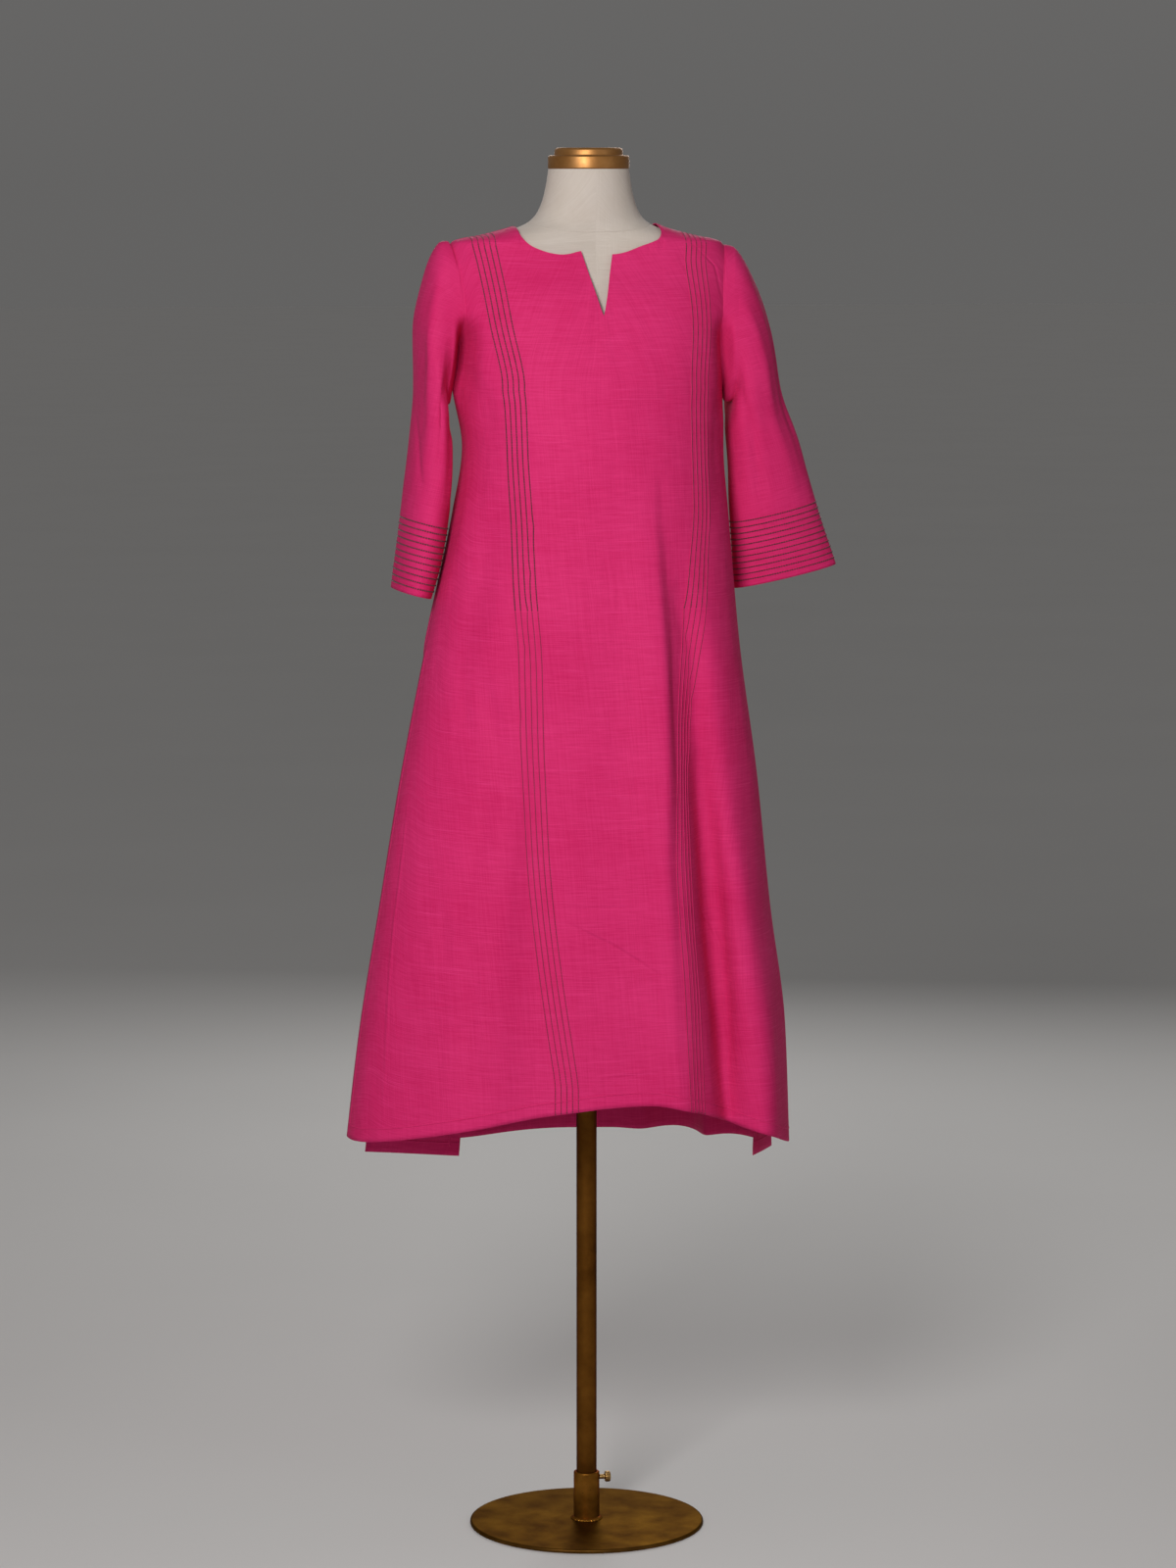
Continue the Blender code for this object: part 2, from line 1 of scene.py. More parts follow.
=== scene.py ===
"""An A-line kurti in pink handloom cloth on a limbless dress form and pole stand.

Metres, +Z up. The front faces -Y and the wearer's left side is +X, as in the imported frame. The
cloth is rebuilt on the frame's own sections at a fine grid, with its creases, pintucks and
stitching added.
"""

import math
from collections import namedtuple

import bmesh
import bpy
import numpy as np
from mathutils import Matrix, Vector


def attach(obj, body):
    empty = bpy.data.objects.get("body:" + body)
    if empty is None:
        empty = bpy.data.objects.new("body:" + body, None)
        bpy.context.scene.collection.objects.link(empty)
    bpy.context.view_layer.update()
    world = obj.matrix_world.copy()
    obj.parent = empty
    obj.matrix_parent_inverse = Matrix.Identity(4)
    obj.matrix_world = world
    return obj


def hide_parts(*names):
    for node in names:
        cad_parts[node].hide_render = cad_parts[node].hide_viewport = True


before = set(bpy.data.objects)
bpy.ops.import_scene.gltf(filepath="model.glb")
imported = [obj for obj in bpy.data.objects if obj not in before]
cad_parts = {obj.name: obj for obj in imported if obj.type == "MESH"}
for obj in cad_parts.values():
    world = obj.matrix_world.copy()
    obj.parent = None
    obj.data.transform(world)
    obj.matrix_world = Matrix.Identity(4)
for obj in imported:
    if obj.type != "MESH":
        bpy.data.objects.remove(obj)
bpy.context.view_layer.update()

# ---- cloth sizes, as in the frame ----------------------------------------------------------
CLOTH_LIFT = 0.0003           # the fine cloth's inner face, above the frame's sections
CLOTH_WALL = 0.0007
SEAM_GAP = 0.0003             # between two pieces that are sewn together
ARMHOLE_GAP = 0.0016          # the sleeve starts outside the panels' wall, at an angle to it
REST_LIFT = 0.0020            # cloth above the form where it rests on the shoulders
REST_EASE = 0.0024            # cloth beside the form there

NECK_HALF_WIDTH = 0.083       # neckline, shoulder point to shoulder point
FRONT_NECK_Z = 1.571          # lowest point of the round front neck
BACK_NECK_Z = 1.596
NECK_ROUNDNESS = 2.6
SLIT_HALF_WIDTH = 0.019       # neck slit, at its top
SLIT_BOTTOM_Z = 1.499
SLIT_BOTTOM_X = 0.003

ARMHOLE_X = 0.166             # armhole seam, from the middle of the garment
ARMHOLE_CURVE = 0.009         # how far the armhole is scooped inwards halfway down
UNDERARM_Z = 1.410
SLIT_TOP_Z = 1.110            # the side seams end here, and the side slits begin

HEM_SIDE_Z = 0.482            # front hem at the slits
HEM_RISE = 0.076              # how much higher the front hem is in the middle
HEM_PEAK = 1.35               # shape of that rise
BACK_HEM_Z = 0.464

# ---- the garment's own sections, measured on the photo's outline -------------------------
# left is the wearer's right side, at -X. middle is where the centre front line hangs.
Section = namedtuple("Section", "z left right front back middle centre_y")
HANGING_SECTIONS = (
    Section(0.440, 0.304, 0.250, 0.176, 0.176, 0.066, 0.0),
    Section(0.630, 0.281, 0.243, 0.169, 0.168, 0.056, 0.0),
    Section(0.780, 0.256, 0.224, 0.162, 0.160, 0.046, 0.0),
    Section(0.940, 0.229, 0.207, 0.153, 0.152, 0.035, 0.0),
    Section(1.110, 0.195, 0.184, 0.144, 0.142, 0.022, 0.0),
    Section(1.260, 0.162, 0.171, 0.134, 0.131, 0.010, 0.0),
    Section(1.340, 0.150, 0.165, 0.131, 0.124, 0.005, 0.0),
    Section(1.410, 0.163, 0.166, 0.122, 0.119, 0.000, 0.0),
    Section(1.470, 0.172, 0.174, 0.110, 0.115, 0.000, 0.0),
    Section(1.520, 0.176, 0.177, 0.096, 0.107, 0.000, 0.0),
    Section(1.552, 0.177, 0.177, 0.078, 0.091, 0.000, -0.001),
)
SECTION_SQUARENESS = 2.3
SECTION_DEPTH = 0.85          # of a usual section, for each metre of its half width

# ---- folds: soft ridges (height > 0) and troughs (height < 0) that run down the skirt ----
# at_top and at_hem place the fold across its panel, from -1 at the wearer's right seam to +1
# at the left one. The widths are its two flanks, on the same scale.
Fold = namedtuple("Fold", "top_z full_z at_top at_hem flank_right flank_left height")
FRONT_FOLDS = (
    Fold(1.30, 0.75, 0.36, 0.12, 0.26, 0.11, 0.020),
    Fold(1.28, 0.80, 0.50, 0.53, 0.13, 0.10, -0.030),
    Fold(0.95, 0.55, 0.74, 0.68, 0.16, 0.14, 0.016),
    Fold(0.80, 0.52, 0.54, 0.57, 0.07, 0.06, -0.010),
    Fold(1.12, 0.70, -0.62, -0.66, 0.14, 0.18, 0.008),
    Fold(1.16, 0.85, -0.42, -0.46, 0.12, 0.10, -0.008),
)
BACK_FOLDS = (
    Fold(1.05, 0.60, -0.55, -0.58, 0.14, 0.16, -0.014),
    Fold(1.20, 0.70, -0.20, -0.22, 0.20, 0.16, 0.012),
    Fold(1.10, 0.65, 0.16, 0.18, 0.12, 0.14, -0.016),
    Fold(1.00, 0.55, 0.48, 0.46, 0.14, 0.10, 0.012),
    Fold(0.90, 0.50, 0.72, 0.70, 0.10, 0.09, -0.036),
)

# ---- the back panel's edge strips turn inwards behind the front at the side slits --------
# side is -1 at the wearer's right. The strip beyond the share `fold_at` turns in, at the share
# `side_at` of the section. From below `start_z` it grows to the hem, where its free edge lies
# `reach` further in and `forward` of the turn. The panel lies `inset` inside the front there,
# and `flare` outside the front's edge higher up the slit.
Tuck = namedtuple("Tuck", "side fold_at side_at start_z reach forward inset flare")
BACK_TUCKS = (
    Tuck(-1, 0.82, 0.940, 1.02, 0.112, 0.046, 0.012, 0.000),
    Tuck(1, 0.90, 0.995, 0.64, 0.036, 0.058, 0.010, 0.003),
)

# ---- sleeves: each ring spans from its outer to its inner edge ---------------------------
# x is measured outwards from the middle of the garment.
SLEEVE_FREE_AT = 0.36         # share of the sleeve's length where it no longer keeps the armhole's shape
CAP_REACH = 0.110             # how fast the sleeve head leaves the armhole sideways
SleeveRing = namedtuple("SleeveRing", "along outer_x outer_z inner_x inner_z half_depth centre_y")
RIGHT_SLEEVE_RINGS = (        # the wearer's right arm, at -X: hangs close, seen from its edge
    SleeveRing(0.10, 0.1795, 1.578, 0.168, 1.394, 0.058, 0.000),
    SleeveRing(0.22, 0.197, 1.538, 0.171, 1.375, 0.066, 0.001),
    SleeveRing(0.36, 0.208, 1.486, 0.172, 1.354, 0.071, 0.003),
    SleeveRing(0.52, 0.208, 1.412, 0.170, 1.326, 0.070, 0.006),
    SleeveRing(0.70, 0.217, 1.324, 0.168, 1.272, 0.066, 0.010),
    SleeveRing(0.86, 0.2275, 1.236, 0.177, 1.209, 0.061, 0.013),
    SleeveRing(1.00, 0.236, 1.169, 0.191, 1.157, 0.058, 0.014),
)
LEFT_SLEEVE_RINGS = (         # the wearer's left arm, at +X: swings out and is seen flat
    SleeveRing(0.10, 0.183, 1.570, 0.171, 1.402, 0.056, 0.000),
    SleeveRing(0.22, 0.204, 1.532, 0.173, 1.382, 0.058, 0.002),
    SleeveRing(0.36, 0.225, 1.482, 0.175, 1.352, 0.056, 0.004),
    SleeveRing(0.52, 0.240, 1.406, 0.178, 1.312, 0.049, 0.008),
    SleeveRing(0.70, 0.268, 1.328, 0.181, 1.262, 0.040, 0.012),
    SleeveRing(0.86, 0.294, 1.248, 0.185, 1.205, 0.032, 0.016),
    SleeveRing(1.00, 0.3135, 1.191, 0.188, 1.163, 0.027, 0.018),
)

# ---- dress form, a general limbless figure -----------------------------------------------
FormSection = namedtuple("FormSection", "z half_width front back centre_y squareness")
FORM_SECTIONS = (
    FormSection(0.905, 0.148, 0.096, 0.100, 0.000, 2.3),
    FormSection(0.990, 0.163, 0.104, 0.114, 0.000, 2.3),
    FormSection(1.090, 0.147, 0.094, 0.098, 0.000, 2.3),
    FormSection(1.195, 0.119, 0.084, 0.082, 0.000, 2.2),
    FormSection(1.270, 0.127, 0.100, 0.086, 0.000, 2.2),
    FormSection(1.345, 0.141, 0.120, 0.096, 0.000, 2.2),
    FormSection(1.410, 0.147, 0.113, 0.104, 0.000, 2.2),
    FormSection(1.470, 0.154, 0.099, 0.106, 0.000, 2.3),
    FormSection(1.520, 0.160, 0.084, 0.098, 0.000, 2.3),
    FormSection(1.552, 0.1635, 0.072, 0.086, -0.001, 2.3),
    FormSection(1.571, 0.1655, 0.064, 0.074, -0.002, 2.3),
    FormSection(1.579, 0.1610, 0.061, 0.069, -0.003, 2.3),
    FormSection(1.584, 0.1480, 0.059, 0.066, -0.004, 2.3),
    FormSection(1.588, 0.1340, 0.058, 0.064, -0.005, 2.3),
    FormSection(1.595, 0.111, 0.056, 0.062, -0.006, 2.3),
    FormSection(1.602, 0.088, 0.054, 0.058, -0.008, 2.2),
    FormSection(1.609, 0.073, 0.052, 0.055, -0.009, 2.1),
    FormSection(1.619, 0.063, 0.051, 0.052, -0.011, 2.0),
    FormSection(1.636, 0.0555, 0.050, 0.050, -0.013, 2.0),
    FormSection(1.656, 0.051, 0.049, 0.049, -0.014, 2.0),
    FormSection(1.673, 0.0485, 0.0485, 0.0485, -0.015, 2.0),
)
SHOULDER_SECTION_Z = 1.56     # the cloth follows the form's sections from here up
CLOTH_TOP_Z = 1.64            # and no further than this

# ---- neck cap and stand ------------------------------------------------------------------
TOUCH_GAP = 0.0003
CAP_Z = 1.6733
CAP_RADIUS = 0.0490
CAP_TIER_HEIGHT = 0.0160
CAP_TOP_RADIUS = 0.0415
CAP_TOP_HEIGHT = 0.0090
CAP_Y = -0.015

POLE_RADIUS = 0.0125
BASE_RADIUS = 0.145
BASE_HEIGHT = 0.0050
COLLAR_RADIUS = 0.0160
COLLAR_HEIGHT = 0.0600
SCREW_Z = 0.0570              # thumb screw, above the floor
SCREW_SHANK_RADIUS = 0.0030
SCREW_SHANK_LENGTH = 0.0066
SCREW_HEAD_RADIUS = 0.0068
SCREW_HEAD_LENGTH = 0.0068

# ---- what the photo shows beyond the frame: sags, creases, tucks ---------------------------
Sag = namedtuple("Sag", "x width drop")
NECK_SAGS = (                 # the neckline droops a little on both sides of its slit
    Sag(-0.017, 0.014, -0.0046),
    Sag(-0.052, 0.024, 0.0020),
    Sag(0.058, 0.020, -0.0050),
)
NECK_RIGHT_WIDTH = 0.0905     # the neckline lies wider open towards the wearer's right

SLIT_BOW = 1.12               # above 1 the slit's edges bow towards each other lower down

# A crease runs through its (x, z) points on one panel. Height is how far it stands out, and
# the widths are its flanks towards -X and +X.
Crease = namedtuple("Crease", "side points flank_right flank_left height")
PANEL_CREASES = (
    # the long ridge on the wearer's left, and the shaded valley behind it
    Crease(-1, ((0.055, 1.320), (0.060, 1.180), (0.065, 1.075), (0.067, 0.965), (0.065, 0.854), (0.074, 0.650),
                (0.080, 0.540)), 0.034, 0.008, 0.0085),
    Crease(-1, ((0.074, 1.260), (0.084, 1.100), (0.086, 0.950), (0.083, 0.830), (0.088, 0.740)),
           0.009, 0.018, -0.0060),
    Crease(-1, ((0.085, 1.178), (0.096, 1.138), (0.112, 1.096), (0.114, 1.044), (0.108, 0.990)),
           0.010, 0.016, -0.0040),
    # the second valley and ridge, nearer the wearer's left side
    Crease(-1, ((0.114, 0.978), (0.128, 0.885), (0.134, 0.811), (0.139, 0.736), (0.145, 0.661), (0.142, 0.500)),
           0.020, 0.013, -0.0095),
    Crease(-1, ((0.139, 0.921), (0.156, 0.828), (0.163, 0.734), (0.167, 0.659), (0.167, 0.547)),
           0.012, 0.020, 0.0050),
    # soft dents between the pintucks and the wearer's right side
    Crease(-1, ((-0.120, 1.285), (-0.142, 1.190), (-0.161, 1.111), (-0.168, 1.060)), 0.014, 0.020, -0.0045),
    Crease(-1, ((-0.150, 1.300), (-0.160, 1.240), (-0.166, 1.180)), 0.012, 0.014, 0.0030),
    Crease(-1, ((-0.146, 1.080), (-0.139, 1.042), (-0.128, 0.990), (-0.127, 0.935)), 0.012, 0.010, -0.0034),
    Crease(-1, ((-0.133, 0.945), (-0.155, 0.864), (-0.176, 0.785)), 0.012, 0.010, -0.0034),
    Crease(-1, ((-0.166, 1.090), (-0.165, 1.069), (-0.163, 0.990)), 0.008, 0.009, -0.0024),
    Crease(-1, ((-0.161, 0.780), (-0.163, 0.738), (-0.166, 0.640), (-0.164, 0.560)), 0.014, 0.010, -0.0036),
    Crease(-1, ((-0.192, 0.790), (-0.193, 0.720)), 0.008, 0.008, -0.0018),
    Crease(-1, ((-0.110, 0.960), (-0.124, 0.840), (-0.128, 0.700)), 0.016, 0.016, 0.0028),
    # drags at the shoulders and the armholes
    Crease(-1, ((-0.166, 1.440), (-0.150, 1.425), (-0.136, 1.395), (-0.128, 1.350)), 0.010, 0.012, -0.0030),
    Crease(-1, ((0.166, 1.440), (0.152, 1.400), (0.146, 1.330), (0.148, 1.250)), 0.010, 0.014, -0.0030),
    # the back, in the same manner
    Crease(1, ((-0.160, 1.440), (-0.136, 1.380), (-0.122, 1.290)), 0.012, 0.014, -0.0030),
    Crease(1, ((0.160, 1.440), (0.140, 1.385), (0.126, 1.300)), 0.012, 0.012, -0.0030),
    Crease(1, ((-0.080, 1.240), (-0.078, 1.050), (-0.092, 0.860)), 0.020, 0.016, -0.0040),
    Crease(1, ((0.060, 1.270), (0.056, 1.080), (0.050, 0.820), (0.052, 0.600)), 0.016, 0.022, -0.0045),
    Crease(1, ((0.128, 1.150), (0.140, 0.960), (0.150, 0.760), (0.158, 0.560)), 0.014, 0.018, 0.0035),
    Crease(1, ((-0.010, 0.840), (-0.006, 0.640), (0.000, 0.500)), 0.016, 0.018, 0.0030),
    Crease(1, ((-0.170, 1.020), (-0.190, 0.860), (-0.200, 0.700)), 0.014, 0.014, -0.0035),
)
# Narrow press marks and small tugs, shown in the cloth's surface: points (x, z), width, height.
PressLine = namedtuple("PressLine", "side points width height")
PRESS_LINES = (
    PressLine(-1, ((0.104, 0.810), (0.132, 0.768), (0.148, 0.733)), 0.0044, -0.0009),
    PressLine(-1, ((0.194, 0.980), (0.2105, 0.800), (0.2335, 0.600), (0.2380, 0.470)), 0.0030, -0.0014),
    PressLine(-1, ((-0.222, 0.945), (-0.246, 0.766), (-0.266, 0.500)), 0.0044, 0.0007),
    PressLine(-1, ((0.020, 1.180), (0.033, 0.590)), 0.0044, 0.0006),
    PressLine(-1, ((-0.082, 0.797), (0.046, 0.799)), 0.0034, -0.0007),
    PressLine(-1, ((-0.059, 0.783), (0.004, 0.751), (0.066, 0.711)), 0.0038, -0.0009),
    PressLine(-1, ((-0.244, 0.905), (-0.101, 0.941)), 0.0034, 0.0005),
    PressLine(-1, ((-0.278, 0.653), (-0.073, 0.697)), 0.0034, 0.0005),
    PressLine(-1, ((-0.030, 0.592), (0.066, 0.606)), 0.0044, 0.0007),
    PressLine(-1, ((0.113, 1.588), (0.148, 1.556), (0.160, 1.505)), 0.0036, -0.0007),
    PressLine(-1, ((-0.152, 1.484), (-0.030, 1.494)), 0.0056, 0.0006),
    PressLine(1, ((0.004, 1.590), (0.006, 1.500), (0.004, 1.380)), 0.0044, 0.0006),
    PressLine(1, ((-0.150, 0.800), (-0.040, 0.796), (0.100, 0.800)), 0.0036, -0.0008),
    PressLine(1, ((-0.060, 0.720), (0.020, 0.690), (0.110, 0.640)), 0.0038, -0.0009),
)
NECK_PUCKERS = (              # x of the small gathers under the neckline, beside the slit
    0.038, 0.046, 0.053, 0.060, 0.068, 0.074,
)
PUCKER_LENGTH = 0.022
PUCKER_WIDTH = 0.0024
PUCKER_HEIGHT = 0.0009

# The armholes pull the cloth inwards above the underarm: shares of its depth there, for the
# wearer's right and left, in front and behind.
ARMPIT_PULLS = {-1: (0.84, 0.45), 1: (0.34, 0.34)}
ARMPIT_PULL_REACH = 0.011
ARMPIT_TOP_Z = 1.504          # the pull ends here, and is full this far below
ARMPIT_TOP_FADE = 0.040
ARMPIT_FOOT_Z = 1.362         # it begins here, and is full this far above
ARMPIT_FOOT_FADE = 0.045
UNDERARM_SAG = 0.017          # the sleeves hang a little under the armpits
SLEEVE_HEAD_LIFTS = {-1: 0.005, 1: 0.0}
SHOULDER_END_LIFT = 0.004     # the shoulder seams stand up a little at their outer ends
SHOULDER_END_X = 0.115        # the lift begins at this half width, and is full this far beyond
SHOULDER_END_SPAN = 0.045
RIGHT_HEM_LIFT = 0.017        # the front hem is drawn up towards the wearer's right slit
WANDER_WAVES = 7              # soft unevenness all over: crossing waves of a size and a height
PANEL_WANDER = (0.17, 0.0030)
HELD_FROM_Z = 1.40            # the panels wander less from here up, where the form holds them
HELD_SPAN = 0.12
SLEEVE_WANDER = (0.09, 0.0022)

# Sleeve creases run through (turn, along) points. turn goes from the inner edge (0) over the
# front to the outer edge (0.5) and back behind, and along from the shoulder (0) to the cuff (1).
SleeveCrease = namedtuple("SleeveCrease", "side_x points width height")
SLEEVE_CREASES = (
    SleeveCrease(-1, ((0.04, 0.10), (0.16, 0.24), (0.24, 0.44), (0.26, 0.72)), 0.030, -0.0040),
    SleeveCrease(-1, ((0.36, 0.16), (0.33, 0.40), (0.34, 0.72)), 0.034, 0.0030),
    SleeveCrease(-1, ((0.02, 0.30), (0.10, 0.46), (0.12, 0.74)), 0.026, 0.0035),
    SleeveCrease(-1, ((0.48, 0.58), (0.40, 0.66), (0.33, 0.74)), 0.016, -0.0020),
    SleeveCrease(-1, ((0.60, 0.10), (0.68, 0.40), (0.66, 0.76)), 0.034, -0.0040),
    SleeveCrease(-1, ((0.86, 0.14), (0.84, 0.48), (0.88, 0.74)), 0.030, 0.0030),
    SleeveCrease(1, ((0.05, 0.08), (0.14, 0.26), (0.20, 0.50), (0.20, 0.76)), 0.030, -0.0040),
    SleeveCrease(1, ((0.30, 0.14), (0.31, 0.44), (0.34, 0.76)), 0.030, 0.0030),
    SleeveCrease(1, ((0.44, 0.20), (0.42, 0.50), (0.41, 0.74)), 0.022, -0.0022),
    SleeveCrease(1, ((0.58, 0.12), (0.66, 0.42), (0.64, 0.76)), 0.034, -0.0035),
    SleeveCrease(1, ((0.88, 0.12), (0.84, 0.46), (0.82, 0.74)), 0.030, 0.0030),
)

# ---- pintucks: narrow sewn tucks, each with a dark thread in its groove --------------------
TUCKS_PER_SIDE = 5
TUCK_SPACING = 0.0068
# The middle tuck of each group, from the shoulder down to the hem.
TuckPlace = namedtuple("TuckPlace", "z x")
RIGHT_TUCKS = tuple(TuckPlace(z, x) for z, x in (
    (0.500, -0.046), (0.560, -0.050), (0.634, -0.060), (0.720, -0.071), (0.845, -0.083), (0.930, -0.087),
    (1.014, -0.090), (1.093, -0.091), (1.177, -0.096), (1.260, -0.098), (1.336, -0.102), (1.412, -0.104),
    (1.490, -0.118), (1.545, -0.126), (1.600, -0.135),
))
LEFT_TUCKS = tuple(TuckPlace(z, x) for z, x in (
    (0.500, 0.106), (0.600, 0.102), (0.700, 0.098), (0.780, 0.093), (0.862, 0.090), (0.905, 0.090),
    (0.960, 0.092), (1.016, 0.095), (1.071, 0.101), (1.123, 0.108), (1.159, 0.113), (1.219, 0.118),
    (1.267, 0.122), (1.362, 0.120), (1.433, 0.122), (1.486, 0.126), (1.567, 0.121), (1.600, 0.110),
))
CUFF_TUCKS = 11
CUFF_TUCK_SPACINGS = {"right": 0.0078, "left": 0.0073}
CUFF_EDGE_SPACE = 0.0090
# Pitch is from stitch to stitch, and length is what shows of each.
Stitch = namedtuple("Stitch", "pitch length thickness")
UPPER_TUCK_STITCH = Stitch(0.0031, 0.0034, 0.00098)
LOWER_TUCK_STITCH = Stitch(0.0031, 0.0024, 0.00080)
CUFF_STITCH = Stitch(0.0031, 0.0034, 0.00112)
HEM_STITCH = Stitch(0.0036, 0.0026, 0.00028)
STITCH_UNEVENNESS = 0.14      # how much the stitches' lengths differ, either way
TUCK_WIDTH = 0.0011
TUCK_HEIGHT = 0.0006
TUCK_LINE_HEIGHTS = (0.580, 1.564, 0.004)    # where the tucks are placed: from, to, step
TUCKS_PART_Z = 1.15           # the thread is a nearly unbroken line above, and separate stitches below
HEM_DEPTH = 0.016
SLIT_HEM = 0.013

# ---- how finely the shown cloth is divided -------------------------------------------------
SKIRT_STEPS = 150
YOKE_STEPS = 56
NECK_STEPS = 26               # across, from the neck slit (behind: the middle) to the neckline's end
SHOULDER_STEPS = 46           # from there to the armhole
NECK_SLIT_STEPS = 7           # on each slope of the neck slit
SLEEVE_TURN_STEPS = 120
SLEEVE_LENGTH_STEPS = 130


# ---- reading the tables --------------------------------------------------------------------
def smooth_step(value):
    value = np.clip(value, 0.0, 1.0)
    return value * value * (3.0 - 2.0 * value)


def bell(value):
    return np.exp(-value * value)


def run_length(steps):
    """How far along each point lies, from the steps between the points."""
    return np.concatenate(((0.0,), np.cumsum(steps)))


def path_length(path):
    return run_length(np.linalg.norm(np.diff(path, axis=0), axis=1))


def read_table(rows, key, column, at):
    """A column of a table as a smooth curve that never overshoots its rows, at many places."""
    keys = np.array([getattr(row, key) for row in rows])
    values = np.array([getattr(row, column) for row in rows])
    slopes = np.diff(values) / np.diff(keys)
    product = slopes[:-1] * slopes[1:]
    total = slopes[:-1] + slopes[1:]
    inner = np.where(product > 0.0, 2.0 * product / np.where(product > 0.0, total, 1.0), 0.0)
    tangents = np.concatenate((slopes[:1], inner, slopes[-1:]))
    at = np.clip(at, keys[0], keys[-1])
    i = np.clip(np.searchsorted(keys, at, side="right") - 1, 0, len(keys) - 2)
    span = keys[i + 1] - keys[i]
    t = (at - keys[i]) / span
    start = values[i] * (1.0 + 2.0 * t) * (1.0 - t) ** 2 + span * tangents[i] * t * (1.0 - t) ** 2
    end = values[i + 1] * t * t * (3.0 - 2.0 * t) + span * tangents[i + 1] * t * t * (t - 1.0)
    return start + end


def cloth_sections():
    """The hanging sections, and above them the form's own shoulders with the cloth laid on."""
    resting = []
    for row in FORM_SECTIONS:
        if SHOULDER_SECTION_Z < row.z < CLOTH_TOP_Z:
            share = float(smooth_step((row.half_width - SHOULDER_END_X) / SHOULDER_END_SPAN))
            resting.append(Section(
                z=row.z + REST_LIFT + SHOULDER_END_LIFT * share,
                left=row.half_width + REST_EASE,
                right=row.half_width + REST_EASE,
                front=row.front + REST_EASE,
                back=row.back + REST_EASE,
                middle=0.0,
                centre_y=row.centre_y,
            ))
    return HANGING_SECTIONS + tuple(resting)


CLOTH = cloth_sections()


def oval(share, squareness):
    return np.maximum(1.0 - np.abs(share) ** squareness, 0.0) ** (1.0 / squareness)


def section_depth(side, z):
    return read_table(CLOTH, "z", "front" if side < 0 else "back", z)


def half_width(share, z):
    """The garment's half width on the side that the share is on."""
    return np.where(share < 0.0, read_table(CLOTH, "z", "left", z), read_table(CLOTH, "z", "right", z))


# ---- the garment's body --------------------------------------------------------------------
def fold_depth(folds, across, z):
    push = np.zeros_like(across)
    for fold in folds:
        grown = smooth_step((fold.top_z - z) / (fold.top_z - fold.full_z))
        down = np.clip((fold.top_z - z) / (fold.top_z - BACK_HEM_Z), 0.0, 1.0)
        away = across - (fold.at_top + (fold.at_hem - fold.at_top) * down)
        flank = np.where(away < 0.0, fold.flank_right, fold.flank_left)
        push += fold.height * grown * bell(away / flank)
    return push


def armpit_pull(side, x, z):
    """How much of the cloth's depth is left where the armholes pull it inwards."""
    share = np.where(x < 0.0, *ARMPIT_PULLS[side])
    high = smooth_step((ARMPIT_TOP_Z - z) / ARMPIT_TOP_FADE) * smooth_step((z - ARMPIT_FOOT_Z) / ARMPIT_FOOT_FADE)
    seam = np.abs(armhole_x(np.where(x < 0.0, -1.0, 1.0), climbed(z)))
    return 1.0 - share * high * bell((np.abs(x) - seam) / ARMPIT_PULL_REACH)


def yoke_point(side, x, z, pulled=True):
    """The garment's body above the underarm."""
    reach = section_depth(side, z) * oval(np.minimum(np.abs(x) / half_width(x, z), 1.0), SECTION_SQUARENESS)
    y = read_table(CLOTH, "z", "centre_y", z) + side * np.maximum(reach, SEAM_GAP / 2.0)
    return np.stack((x, y * armpit_pull(side, x, z) if pulled else y, z), axis=-1)


def skirt_point(side, across, z, folds):
    """The garment's body below the underarm, at a share `across` its panel."""
    middle = read_table(CLOTH, "z", "middle", z)
    half = half_width(across, z) - np.sign(across) * middle
    reach = section_depth(side, z) * oval(across, SECTION_SQUARENESS)
    out_x = across * np.abs(across) * 0.7
    out_y = side * (1.0 - across * across * 0.5)
    length = np.hypot(out_x, out_y)
    push = fold_depth(folds, across, z) * (1.0 - smooth_step((np.abs(across) - 0.85) / 0.15))
    x = middle + across * half + out_x / length * push
    y = side * np.maximum(reach, SEAM_GAP / 2.0) * armpit_pull(side, x, z) + out_y / length * push
    return np.stack((x, y, z), axis=-1)


def shoulder_z(x):
    """Height of the shoulder seam: where the body's section is just as wide as x."""
    low = np.full(np.shape(x), SHOULDER_SECTION_Z)
    high = np.full(np.shape(x), FORM_SECTIONS[-4].z + REST_LIFT)
    for _ in range(40):
        z = (low + high) / 2.0
        wider = read_table(CLOTH, "z", "right", z) > np.abs(x)
        low = np.where(wider, z, low)
        high = np.where(wider, high, z)
    return low


def neck_half(x):
    return np.where(np.asarray(x) < 0.0, NECK_RIGHT_WIDTH, NECK_HALF_WIDTH)


def neck_z(side, x):
    lowest = FRONT_NECK_Z if side < 0 else BACK_NECK_Z
    rise = shoulder_z(neck_half(x)) - lowest
    level = lowest + rise * (1.0 - oval(x / neck_half(x), NECK_ROUNDNESS))
    if side > 0:
        return level
    inside = smooth_step((neck_half(x) - np.abs(x)) / 0.012)
    for sag in NECK_SAGS:
        level = level - sag.drop * inside * bell((x - sag.x) / sag.width)
    return level


